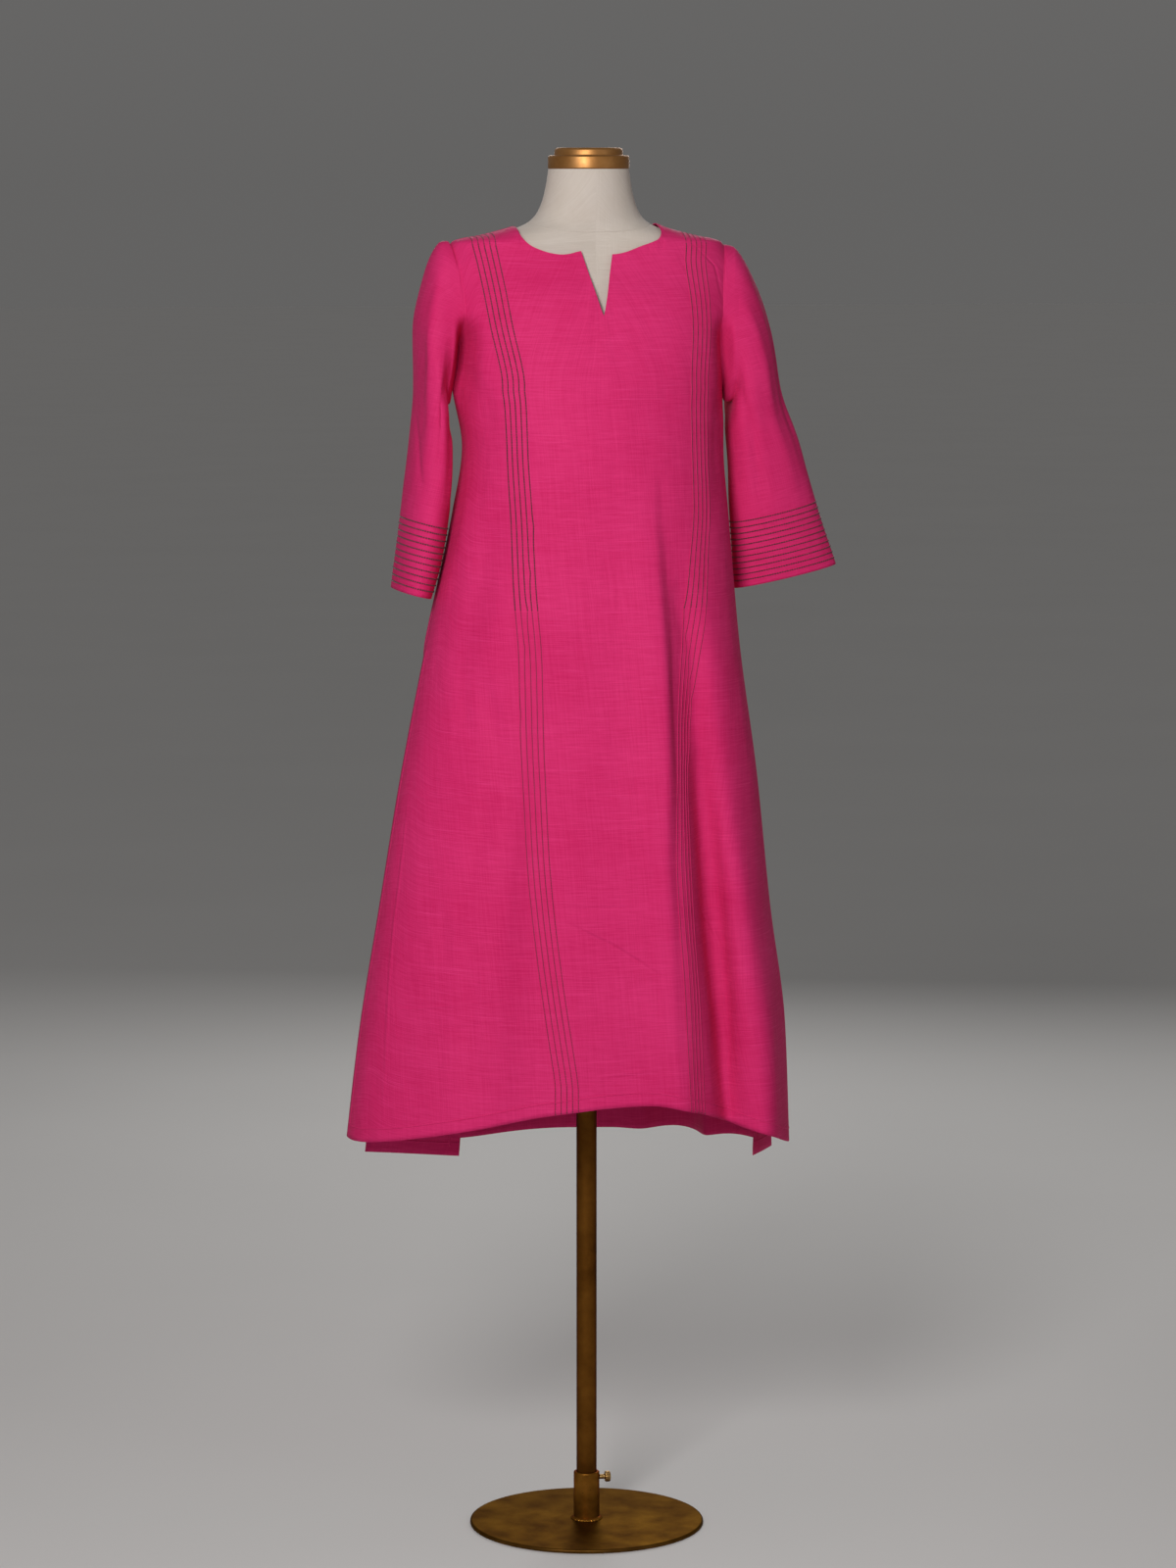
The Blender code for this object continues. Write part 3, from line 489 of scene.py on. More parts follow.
def top_z(side, x):
    """Height of a panel's top edge: shoulder seam, neckline or neck slit."""
    half = neck_half(x)
    edge = np.where(np.abs(x) >= half, shoulder_z(x), neck_z(side, np.clip(x, -half, half)))
    if side > 0:
        return edge
    corner = np.where(x < SLIT_BOTTOM_X, -SLIT_HALF_WIDTH, SLIT_HALF_WIDTH)
    share = (x - SLIT_BOTTOM_X) / (corner - SLIT_BOTTOM_X)
    bowed = share ** SLIT_BOW
    slit = SLIT_BOTTOM_Z + (neck_z(side, corner) - SLIT_BOTTOM_Z) * bowed
    return np.where(np.abs(x) < SLIT_HALF_WIDTH, slit, edge)


def armhole_x(side_x, up):
    """x of an armhole seam, from the underarm (0) to the shoulder (1)."""
    underarm = half_width(side_x, UNDERARM_Z)
    scoop = ARMHOLE_CURVE * np.sin(np.pi * up) ** 2
    return np.where(side_x < 0.0, -1.0, 1.0) * (underarm + (ARMHOLE_X - underarm) * up - scoop)


def eased(up):
    return (1.0 - np.cos(np.pi * up)) / 2.0


def climbed(z):
    """The share of the way up an armhole at a height: `eased` turned round."""
    share = (z - UNDERARM_Z) / (shoulder_z(np.array(ARMHOLE_X)) - UNDERARM_Z)
    return np.arccos(1.0 - 2.0 * np.clip(share, 0.0, 1.0)) / np.pi


def spread_evenly(start, end, steps, shares, arc):
    """Shares from start up to (not including) end, evenly spaced along the cloth."""
    begin, stop = np.interp((start, end), shares, arc)
    return np.interp(np.linspace(begin, stop, steps, endpoint=False), arc, shares)


def fine_shares(side):
    """Where a panel's fine columns stand, with one exactly at each corner of the neckline."""
    probe = np.linspace(-1.0, 1.0, 4001)
    arc = path_length(np.stack((probe, SECTION_DEPTH * oval(probe, SECTION_SQUARENESS)), axis=-1))
    slit = SLIT_HALF_WIDTH / ARMHOLE_X
    inner = slit if side < 0 else 0.0
    halves = []
    for neck_width in (NECK_RIGHT_WIDTH, NECK_HALF_WIDTH):
        neck = neck_width / ARMHOLE_X
        turn = np.linspace(0.0, 1.0, NECK_STEPS, endpoint=False)
        collar = inner + (neck - inner) * (1.0 - (1.0 - turn) ** 1.7)
        halves.append(np.concatenate((collar, spread_evenly(neck, 1.0, SHOULDER_STEPS, probe, arc), (1.0,))))
    right_half, left_half = halves
    if side > 0:
        return np.concatenate((-right_half[:0:-1], left_half))
    bottom = SLIT_BOTTOM_X / ARMHOLE_X
    slit_left = np.linspace(-slit, bottom, NECK_SLIT_STEPS + 1, endpoint=False)[1:]
    slit_right = np.linspace(bottom, slit, NECK_SLIT_STEPS, endpoint=False)
    return np.concatenate((-right_half[::-1], slit_left, slit_right, left_half))


def hem_z(side, across):
    if side > 0:
        return np.full(np.shape(across), BACK_HEM_Z)
    drawn = np.where(across < 0.0, RIGHT_HEM_LIFT * np.abs(across) ** 0.7, 0.0)
    return HEM_SIDE_Z + HEM_RISE * (1.0 - np.abs(across) ** HEM_PEAK) + drawn


def back_point(share, z):
    """The back panel's skirt, with its edge strips turned in below the slits' top."""
    tuck = {name: np.where(share < 0.0, *(getattr(t, name) for t in BACK_TUCKS)) for name in Tuck._fields}
    grown = smooth_step((tuck["start_z"] - z) / (tuck["start_z"] - BACK_HEM_Z))
    turned_at = 1.0 + (tuck["side_at"] / tuck["fold_at"] - 1.0) * grown
    size = np.minimum(np.abs(share) * turned_at, 1.0 + (tuck["side_at"] - 1.0) * grown)
    across = np.where(share < 0.0, -size, size)
    point = skirt_point(1, across, z, BACK_FOLDS)
    strip = np.maximum((np.abs(share) - tuck["fold_at"]) / (1.0 - tuck["fold_at"]), 0.0) * grown
    opened = np.clip((SLIT_TOP_Z - z) / 0.06, 0.0, 1.0)
    inside = smooth_step((tuck["start_z"] + 0.10 - z) / 0.08)
    offset = (tuck["inset"] * inside - tuck["flare"] * (1.0 - inside)) * opened * smooth_step(size / 0.9)
    point[..., 0] -= tuck["side"] * (offset + tuck["reach"] * strip)
    point[..., 1] -= tuck["forward"] * strip
    return point


def panel_grid(side, shares):
    """Rows of points from the hem to the underarm, then on to the shoulder seam and neckline."""
    down = np.linspace(0.0, 1.0, SKIRT_STEPS, endpoint=False)[:, None]
    low = hem_z(side, shares)[None, :]
    z = low + (UNDERARM_Z - low) * down
    across = np.broadcast_to(shares, z.shape)
    skirt = back_point(across, z) if side > 0 else skirt_point(-1, across, z, FRONT_FOLDS)
    up = np.linspace(0.0, 1.0, YOKE_STEPS + 1)[:, None]
    top = top_z(side, shares * ARMHOLE_X)[None, :]
    z = UNDERARM_Z + (top - UNDERARM_Z) * eased(up)
    x = np.abs(shares)[None, :] * armhole_x(shares[None, :], climbed(z))
    return np.concatenate((skirt, yoke_point(side, x, z)))


# ---- sleeves -------------------------------------------------------------------------------
def armhole_edge(side_x, turn, pulled=True):
    """A place on the armhole, from its underarm (0) up the front (0.5) and down behind."""
    front = turn <= 0.5
    up = np.where(front, turn, 1.0 - turn) * 2.0
    x = armhole_x(np.full(np.shape(turn), float(side_x)), up)
    z = UNDERARM_Z + (shoulder_z(np.array(ARMHOLE_X)) - UNDERARM_Z) * eased(up)
    return np.where(front[..., None], yoke_point(-1, x, z, pulled), yoke_point(1, x, z, pulled))


def sleeve_grid(side_x, rings):
    """Rings of points from the cuff up to the armhole."""
    along = np.linspace(1.0, 0.0, SLEEVE_LENGTH_STEPS + 1)[:, None]
    turn = np.linspace(0.0, 1.0, SLEEVE_TURN_STEPS, endpoint=False)[None, :]
    size = {name: read_table(rings, "along", name, along) for name in SleeveRing._fields}
    nothing = np.zeros_like(along)
    outer = np.stack((side_x * size["outer_x"], size["centre_y"], size["outer_z"]), axis=-1)
    inner = np.stack((side_x * size["inner_x"], size["centre_y"], size["inner_z"]), axis=-1)
    depth = np.stack((nothing, size["half_depth"], nothing), axis=-1)
    angle = (2.0 * np.pi * turn)[..., None]
    ring = (outer + inner) / 2.0 - (outer - inner) / 2.0 * np.cos(angle) - depth * np.sin(angle)
    outwards = np.stack((side_x * (ARMHOLE_GAP + CAP_REACH * along), nothing, nothing), axis=-1)
    near = (1.0 - smooth_step(along / 0.12))[..., None]
    plain = armhole_edge(side_x, turn, False)
    edge = plain + (armhole_edge(side_x, turn) - plain) * near + outwards
    free = smooth_step(along / SLEEVE_FREE_AT)[..., None]
    grid = edge + (ring - edge) * free
    head = smooth_step(along / 0.025) * (1.0 - smooth_step((along - 0.05) / 0.20)) * bell((turn - 0.5) / 0.13)
    grid[..., 2] += SLEEVE_HEAD_LIFTS[side_x] * head
    under = bell(np.minimum(turn, 1.0 - turn) / 0.09) * smooth_step(along / 0.035)
    under = under * (1.0 - smooth_step((along - 0.06) / 0.20))
    grid[..., 2] -= UNDERARM_SAG * under
    return grid, turn, along


# ---- working on grids of points ------------------------------------------------------------
def unit(vectors):
    return vectors / np.maximum(np.linalg.norm(vectors, axis=-1, keepdims=True), 1e-12)


def grid_normals(grid, closed, outwards):
    """The cloth's outer direction at each point. outwards is a rough direction at the middle."""
    if closed:
        across = np.roll(grid, -1, axis=1) - np.roll(grid, 1, axis=1)
    else:
        across = np.gradient(grid, axis=1)
    normals = unit(np.cross(across, np.gradient(grid, axis=0)))
    middle = normals[normals.shape[0] // 2, normals.shape[1] // 4 if closed else normals.shape[1] // 2]
    return -normals if np.dot(middle, outwards) < 0.0 else normals


def yoke_normals(side, grid, normals):
    """Steady normals under the neckline, where the grid's columns crowd together."""
    x, z = grid[..., 0], grid[..., 2]
    step = 0.002
    slope_x = (yoke_point(side, x + step, z)[..., 1] - yoke_point(side, x - step, z)[..., 1]) / (2.0 * step)
    slope_z = (yoke_point(side, x, z + step)[..., 1] - yoke_point(side, x, z - step)[..., 1]) / (2.0 * step)
    steady = unit(np.stack((-slope_x, np.ones_like(x), -slope_z), axis=-1)) * side
    share = smooth_step((z - UNDERARM_Z) / 0.03) * smooth_step((0.140 - np.abs(x)) / 0.03)
    return unit(normals * (1.0 - share[..., None]) + steady * share[..., None])


def away_from_line(a, b, points):
    """Signed distance to a line through points, and how much of its middle each place is beside."""
    path = np.array(points)
    best = np.full(a.shape, np.inf)
    signed = np.zeros(a.shape)
    travel = np.zeros(a.shape)
    steps = path_length(path)
    for (a0, b0), (a1, b1), begin in zip(path, path[1:], steps):
        length = math.hypot(a1 - a0, b1 - b0)
        da, db = (a1 - a0) / length, (b1 - b0) / length
        t = np.clip((a - a0) * da + (b - b0) * db, 0.0, length)
        off_a, off_b = a - a0 - t * da, b - b0 - t * db
        far = np.hypot(off_a, off_b)
        nearer = far < best
        side = np.sign(off_a * -db + off_b * da)
        best = np.where(nearer, far, best)
        signed = np.where(nearer, far * side, signed)
        travel = np.where(nearer, begin + t, travel)
    share = travel / steps[-1]
    return signed, np.sin(np.pi * np.clip(share, 0.0, 1.0)) ** 0.7


def panel_creases(side, grid):
    """How far the creases lift each point of a panel. Where a point is beside a line's upper or
    lower end the crease has faded out."""
    x, z = grid[..., 0], grid[..., 2]
    lift = np.zeros(x.shape)
    for crease in PANEL_CREASES:
        if crease.side != side:
            continue
        away, grown = away_from_line(x, z, crease.points)
        downwards = crease.points[0][1] >= crease.points[-1][1]
        to_left = away if downwards else -away
        flank = np.where(to_left < 0.0, crease.flank_right, crease.flank_left)
        lift += crease.height * grown * bell(away / flank)
    if side < 0:
        for x_pucker in NECK_PUCKERS:
            below = neck_z(-1, np.array(x_pucker)) - z
            grown = smooth_step(below / 0.003) * smooth_step((PUCKER_LENGTH - below) / PUCKER_LENGTH)
            lift += PUCKER_HEIGHT * grown * bell((x - x_pucker) / PUCKER_WIDTH)
    return lift


def sleeve_creases(side_x, turn, along):
    lift = np.zeros(np.broadcast_shapes(turn.shape, along.shape))
    turn, along = np.broadcast_arrays(turn, along)
    for crease in SLEEVE_CREASES:
        if crease.side_x != side_x:
            continue
        for shift in (-1.0, 0.0, 1.0):
            points = tuple((t + shift, a) for t, a in crease.points)
            away, grown = away_from_line(turn, along, points)
            lift += crease.height * grown * bell(away / crease.width)
    return lift


def cloth_wander(grid, size, height, seed):
    """Soft unevenness all over the cloth: a few crossing waves of fixed random directions."""
    draw = np.random.default_rng(seed)
    lift = np.zeros(grid.shape[:2])
    for _ in range(WANDER_WAVES):
        direction = draw.normal(size=3) * (1.0, 1.0, 0.55)
        wave = 2.0 * np.pi / (size * draw.uniform(0.7, 1.5))
        lift += np.sin(grid @ (direction / np.linalg.norm(direction)) * wave + draw.uniform(0.0, 6.3))
    return lift * height / WANDER_WAVES


def arc_lengths(grid, axis, start):
    """Length along the cloth on one grid axis, counted from the given row or column."""
    steps = np.linalg.norm(np.diff(grid, axis=axis), axis=-1)
    travelled = np.cumsum(steps, axis=axis)
    first = np.zeros_like(np.take(travelled, (0,), axis=axis))
    travelled = np.concatenate((first, travelled), axis=axis)
    return travelled - np.take(travelled, (start,), axis=axis)


def link_object(name, data):
    made = bpy.data.objects.new(name, data)
    bpy.context.scene.collection.objects.link(made)
    return made


def mesh_piece(name, points, faces, material, uv=None):
    """A smooth-shaded piece, with a UV map in metres of cloth where it is given one."""
    mesh = bpy.data.meshes.new(name)
    mesh.from_pydata(points, [], faces)
    if uv is not None:
        mesh.uv_layers.new(name="cloth").data.foreach_set("uv", np.array(uv).ravel())
    mesh.shade_smooth()
    mesh.materials.append(material)
    return link_object(name, mesh)


def cloth_object(name, grid, normals, across, along, closed, material):
    """A fine cloth piece with its wall outside, and a UV map in metres of cloth."""
    rows, columns = grid.shape[:2]
    points = (grid + normals * CLOTH_LIFT).reshape(-1, 3)
    faces, corners = [], []
    for r in range(rows - 1):
        low, high = r * columns, (r + 1) * columns
        for c in range(columns if closed else columns - 1):
            d = c + 1
            faces.append((low + c, low + d % columns, high + d % columns, high + c))
            corners.append(((r, c), (r, d), (r + 1, d), (r + 1, c)))
    probe = len(faces) // 2
    a, b, c, d = (points[i] for i in faces[probe])
    if np.dot(np.cross(c - a, d - b), normals[corners[probe][0]]) < 0.0:
        faces = [face[::-1] for face in faces]
        corners = [corner[::-1] for corner in corners]
    where = np.array(corners).reshape(-1, 2)
    uv = np.stack((across[where[:, 0], where[:, 1]], along[where[:, 0], where[:, 1] % columns]), axis=-1)
    piece = mesh_piece(name, points.tolist(), faces, material, uv)
    wall = piece.modifiers.new("wall", "SOLIDIFY")
    wall.thickness = CLOTH_WALL
    wall.offset = 1.0
    return piece


# ---- lines on the cloth: tucks, seams, hems ------------------------------------------------
TUBE_UV_STEP = 0.05           # between the strips of two lines on a piece's UV map
TUBE_CLOSING_STEP = 0.003     # length of the strip's part that closes a ring


# A line is a pair of arrays: its points, and the cloth's outer direction at each of them.
def sample(grid, rows, columns):
    """Values of a grid at fractional rows and columns."""
    r = np.clip(rows.astype(int), 0, grid.shape[0] - 2)
    c = np.clip(columns.astype(int), 0, grid.shape[1] - 2)
    fr, fc = (rows - r)[:, None], (columns - c)[:, None]
    low = grid[r, c] * (1.0 - fc) + grid[r, c + 1] * fc
    high = grid[r + 1, c] * (1.0 - fc) + grid[r + 1, c + 1] * fc
    return low * (1.0 - fr) + high * fr


def cloth_line(grid, normals, rows, columns):
    return sample(grid, rows, columns), unit(sample(normals, rows, columns))


def smooth_run(values, reach):
    kernel = np.hanning(2 * reach + 3)[1:-1]
    padded = np.pad(values, reach, mode="edge")
    return np.convolve(padded, kernel / kernel.sum(), mode="valid")


def row_at(grid, column, z):
    """The row where a panel's column reaches a height."""
    c = min(int(column), grid.shape[1] - 2)
    profile = grid[:, c, 2] * (c + 1 - column) + grid[:, c + 1, 2] * (column - c)
    return np.interp(z, profile, np.arange(grid.shape[0]))


def place_on_cloth(grid, x, z):
    """The row and column of a panel's grid at a place seen from the front."""
    count = grid.shape[1]
    crossing = np.array([np.interp(z, grid[:, c, 2], grid[:, c, 0]) for c in range(count)])
    column = np.interp(x, np.maximum.accumulate(crossing), np.arange(count))
    return row_at(grid, column, z), column


def tuck_lines(grid, normals, places):
    """The tucks of one group: evenly spaced along the cloth about their middle line."""
    heights = np.arange(*TUCK_LINE_HEIGHTS)
    count = grid.shape[1]
    number_from_middle = np.arange(TUCKS_PER_SIDE) - (TUCKS_PER_SIDE - 1) / 2.0
    columns = []
    for height in heights:
        x, y = (
            np.array([np.interp(height, grid[:, c, 2], grid[:, c, axis]) for c in range(count)])
            for axis in (0, 1)
        )
        arc = run_length(np.hypot(np.diff(x), np.diff(y)))
        centre = np.interp(read_table(places, "z", "x", height), np.maximum.accumulate(x), arc)
        columns.append(np.interp(centre + number_from_middle * TUCK_SPACING, arc, np.arange(count)))
    lines = []
    for run in np.array(columns).T:
        run = smooth_run(run, 8)
        rows = [row_at(grid, column, height) for height, column in zip(heights, run)]
        low = np.linspace(0.3, rows[0], 8, endpoint=False)
        high = np.linspace(rows[-1], grid.shape[0] - 1.3, 7)[1:]
        rows = np.concatenate((low, rows, high))
        run = np.concatenate((np.full(low.shape, run[0]), run, np.full(high.shape, run[-1])))
        lines.append(cloth_line(grid, normals, rows, run))
    return lines


def split_at(lines, height):
    """The parts of lines above a height, and those below it."""
    above, below = [], []
    for points, facing in lines:
        high = points[:, 2] >= height
        above.append((points[high], facing[high]))
        below.append((points[~high], facing[~high]))
    return above, below


def edge_line(grid, normals, inset, axis, start, first, last):
    """A line that keeps an even distance from a panel's edge."""
    arc = np.abs(arc_lengths(grid, axis, start))
    picks = np.arange(first, last)
    every = np.arange(grid.shape[axis])
    found = []
    for pick in picks:
        run = arc[:, pick] if axis == 0 else arc[pick, :]
        order = every if start == 0 else every[::-1]
        found.append(np.interp(inset, run[order], order))
    found, picks = np.array(found), picks.astype(float)
    rows, columns = (found, picks) if axis == 0 else (picks, found)
    return cloth_line(grid, normals, rows, columns)


def lifted(line, height):
    points, facing = line
    return points + facing * height, facing


def tube_object(name, lines, profile, material, closed=False):
    """Thin pieces that follow lines on the cloth. The profile is (sideways, outwards) places."""
    points, faces, uv = [], [], []
    ring = len(profile)
    around = run_length([math.dist(a, b) for a, b in zip(profile, profile[1:] + profile[:1])])
    for number, (path, facing) in enumerate(lines):
        start, count, left_edge = len(points), len(path), number * TUBE_UV_STEP
        along = unit(np.roll(path, -1, 0) - np.roll(path, 1, 0)) if closed else unit(np.gradient(path, axis=0))
        sideways = np.cross(facing, along)
        for place, out, side in zip(path, facing, sideways):
            points.extend((place + side * s + out * o).tolist() for s, o in profile)
        travel = path_length(path)
        for i in range(count if closed else count - 1):
            j = (i + 1) % count
            low, high = start + i * ring, start + j * ring
            v0 = travel[i]
            v1 = travel[j] if j else travel[i] + TUBE_CLOSING_STEP
            for k in range(ring):
                m = (k + 1) % ring
                faces.append((low + k, low + m, high + m, high + k))
                u0, u1 = left_edge + around[k], left_edge + around[k + 1]
                uv.extend(((u0, v0), (u1, v0), (u1, v1), (u0, v1)))
        if not closed:
            last = start + (count - 1) * ring
            faces.extend((tuple(range(start, start + ring))[::-1], tuple(range(last, last + ring))))
            uv.extend([(left_edge, 0.0)] * ring + [(left_edge, travel[-1])] * ring)
    piece = mesh_piece(name, points, faces, material, uv)
    make_outwards(piece)
    return piece


def make_outwards(piece):
    shape = bmesh.new()
    shape.from_mesh(piece.data)
    bmesh.ops.recalc_face_normals(shape, faces=shape.faces)
    shape.to_mesh(piece.data)
    shape.free()


# ---- running stitches, placed along lines by geometry nodes --------------------------------
def feed(tree, socket, value):
    """An input gets a value, or is joined to another node's output."""
    if isinstance(value, bpy.types.NodeSocket):
        tree.links.new(value, socket)
    else:
        socket.default_value = value


def put(tree, kind, inputs=None, **settings):
    """A node with its settings, and with each input set to a value or joined to a socket."""
    node = tree.nodes.new(kind)
    for key, value in settings.items():
        setattr(node, key, value)
    for key, value in (inputs or {}).items():
        feed(tree, node.inputs[key], value)
    return node


def sums(tree, operation, a, b, **settings):
    return put(tree, "ShaderNodeMath", {0: a, 1: b}, operation=operation, **settings).outputs[0]


def stitch_tree():
    """Beads of thread, evenly spaced along a guide's edges and turned to follow them."""
    tree = bpy.data.node_groups.new("running stitch", "GeometryNodeTree")
    face = tree.interface
    face.new_socket("Geometry", in_out="INPUT", socket_type="NodeSocketGeometry")
    for label, value in (("Pitch", 0.003), ("Length", 0.002), ("Thickness", 0.0004), ("Unevenness", 0.1)):
        face.new_socket(label, in_out="INPUT", socket_type="NodeSocketFloat").default_value = value
    face.new_socket("Seed", in_out="INPUT", socket_type="NodeSocketInt").default_value = 1
    face.new_socket("Thread", in_out="INPUT", socket_type="NodeSocketMaterial")
    face.new_socket("Geometry", in_out="OUTPUT", socket_type="NodeSocketGeometry")
    given = tree.nodes.new("NodeGroupInput").outputs
    path = put(tree, "GeometryNodeMeshToCurve", {"Mesh": given["Geometry"]})
    spaced = put(tree, "GeometryNodeResampleCurve", {"Curve": path.outputs[0], "Length": given["Pitch"]}, mode="LENGTH")
    tangent = put(tree, "GeometryNodeInputTangent")
    turned = put(tree, "FunctionNodeAlignRotationToVector", {"Vector": tangent.outputs[0]}, axis="X")
    low = sums(tree, "SUBTRACT", 1.0, given["Unevenness"])
    high = sums(tree, "ADD", 1.0, given["Unevenness"])
    vary = put(tree, "FunctionNodeRandomValue", {2: low, 3: high, "Seed": given["Seed"]}, data_type="FLOAT")
    half = sums(tree, "MULTIPLY", given["Length"], 0.5)
    reach = sums(tree, "MULTIPLY", half, vary.outputs[1])
    size = put(tree, "ShaderNodeCombineXYZ", {0: reach, 1: given["Thickness"], 2: given["Thickness"]})
    bead = put(tree, "GeometryNodeMeshUVSphere", {"Segments": 5, "Rings": 4, "Radius": 1.0})
    placed = put(tree, "GeometryNodeInstanceOnPoints", {
        "Points": spaced.outputs[0],
        "Instance": bead.outputs[0],
        "Rotation": turned.outputs[0],
        "Scale": size.outputs[0],
    })
    real = put(tree, "GeometryNodeRealizeInstances", {"Geometry": placed.outputs[0]})
    soft = put(tree, "GeometryNodeSetShadeSmooth", {0: real.outputs[0]})
    threaded = put(tree, "GeometryNodeSetMaterial", {"Geometry": soft.outputs[0], "Material": given["Thread"]})
    put(tree, "NodeGroupOutput", {0: threaded.outputs[0]})
    return tree


STITCH_TREE = stitch_tree()


def stitches(name, lines, stitch, seed, thread, closed=False):
    """Real stitches of thread along lines on the cloth."""
    points, edges = [], []
    for path, _ in lines:
        start, count = len(points), len(path)
        points.extend(path.tolist())
        edges.extend((start + i, start + i + 1) for i in range(count - 1))
        if closed:
            edges.append((start + count - 1, start))
    guide_mesh = bpy.data.meshes.new(name)
    guide_mesh.from_pydata(points, edges, [])
    guide = link_object(name + "_guide", guide_mesh)
    maker = guide.modifiers.new("stitches", "NODES")
    maker.node_group = STITCH_TREE
    wanted = {
        "Pitch": stitch.pitch,
        "Length": stitch.length,
        "Thickness": stitch.thickness,
        "Unevenness": STITCH_UNEVENNESS,
        "Seed": seed,
        "Thread": thread,
    }
    for item in STITCH_TREE.interface.items_tree:
        if item.in_out == "INPUT" and item.name in wanted:
            maker[item.identifier] = wanted[item.name]
    graph = bpy.context.evaluated_depsgraph_get()
    made = guide.evaluated_get(graph)
    mesh = bpy.data.meshes.new_from_object(made, preserve_all_data_layers=True, depsgraph=graph)
    mesh.name = name
    bpy.data.objects.remove(guide, do_unlink=True)
    return link_object(name, mesh)


# ---- shared effects, as shader node groups -------------------------------------------------
def group(name, inputs, outputs):
    tree = bpy.data.node_groups.new(name, "ShaderNodeTree")
    for label, kind, value in inputs:
        socket = tree.interface.new_socket(label, in_out="INPUT", socket_type="NodeSocket" + kind)
        if value is not None:
            socket.default_value = value
    for label, kind in outputs:
        tree.interface.new_socket(label, in_out="OUTPUT", socket_type="NodeSocket" + kind)
    return tree, tree.nodes.new("NodeGroupInput").outputs, tree.nodes.new("NodeGroupOutput").inputs


def noise(tree, vector, scale, detail=2.0, roughness=0.5):
    inputs = {"Vector": vector, "Scale": scale, "Detail": detail, "Roughness": roughness}
    return put(tree, "ShaderNodeTexNoise", inputs).outputs["Fac"]


def vectors(tree, operation, a, b):
    """Arithmetic on vectors. SCALE takes its second value, a number, on an input of its own."""
    inputs = {0: a, 3 if operation == "SCALE" else 1: b}
    node = put(tree, "ShaderNodeVectorMath", inputs, operation=operation)
    return node.outputs["Value" if operation in ("DOT_PRODUCT", "DISTANCE") else 0]


def streaks(tree, vector, rates, detail=2.0):
    """Noise drawn out along one axis. rates are its steps for each metre of weft and of warp."""
    return noise(tree, vectors(tree, "MULTIPLY", vector, (*rates, 1.0)), 1.0, detail)


def remap(tree, value, low, high, to_low=0.0, to_high=1.0, **settings):
    inputs = {"Value": value, "From Min": low, "From Max": high, "To Min": to_low, "To Max": to_high}
    return put(tree, "ShaderNodeMapRange", inputs, **settings).outputs["Result"]


def mix_colours(tree, share, first, second):
    return put(tree, "ShaderNodeMix", {"Factor": share, 6: first, 7: second}, data_type="RGBA").outputs[2]


# How fast each layer of the cloth changes, in steps for each metre of weft and of warp.
LONG_SLUBS = (12.0, 820.0)
SHORT_SLUBS = (42.0, 1300.0)
WARP_THREADS = (1100.0, 20.0)
DYE_PATCHES = (5.0, 11.0)
RUMPLES = (34.0, 12.0)
WEAVE_SHIFT = 0.37            # moves the weave, so that front and back aren't alike


def weave_group():
    """Handloom cloth: uneven weft slubs, finer warp, both as a tone and as a height."""
    tree, given, out = group(
        "handloom weave",
        (("Vector", "Vector", None), ("Slubs", "Float", 1.0), ("Seed Shift", "Float", 0.0)),
        (("Tone", "Float"), ("Height", "Float")),
    )
    place = vectors(tree, "ADD", given["Vector"], given["Seed Shift"])
    long_slubs = streaks(tree, place, LONG_SLUBS)
    short_slubs = streaks(tree, place, SHORT_SLUBS)
    warp = streaks(tree, place, WARP_THREADS, 1.0)
    patches = streaks(tree, place, DYE_PATCHES)
    thick = remap(tree, long_slubs, 0.58, 0.80)
    fine = remap(tree, short_slubs, 0.30, 0.72, -0.5, 0.5)
    weft = sums(tree, "ADD", sums(tree, "MULTIPLY", thick, given["Slubs"]), sums(tree, "MULTIPLY", fine, 0.8))
    across = remap(tree, warp, 0.3, 0.7, -0.22, 0.22)
    wide = remap(tree, patches, 0.3, 0.7, -0.25, 0.25)
    feed(tree, out["Tone"], sums(tree, "ADD", sums(tree, "ADD", weft, across), wide))
    feed(tree, out["Height"], sums(tree, "ADD", weft, sums(tree, "MULTIPLY", across, 1.4)))
    return tree


def rubbed_group():
    """Worn paint: cloudy tone, fine grain and small chips."""
    tree, given, out = group(
        "rubbed paint",
        (("Vector", "Vector", None), ("Scale", "Float", 1.0), ("Chips", "Float", 0.5)),
        (("Clouds", "Float"), ("Chipped", "Float"), ("Height", "Float")),
    )
    place = vectors(tree, "SCALE", given["Vector"], given["Scale"])
    clouds = noise(tree, place, 26.0, 4.0, 0.6)
    grain = noise(tree, place, 900.0)
    chips = noise(tree, place, 210.0, 5.0, 0.7)
    edge = sums(tree, "SUBTRACT", 0.80, sums(tree, "MULTIPLY", given["Chips"], 0.16))
    chipped = sums(tree, "GREATER_THAN", chips, edge)
    feed(tree, out["Clouds"], remap(tree, clouds, 0.3, 0.7))
    feed(tree, out["Chipped"], chipped)
    feed(tree, out["Height"], sums(tree, "SUBTRACT", sums(tree, "MULTIPLY", grain, 0.5), chipped))
    return tree


STEP_LINK = 1e-9              # share of a mark that moves the next one's place


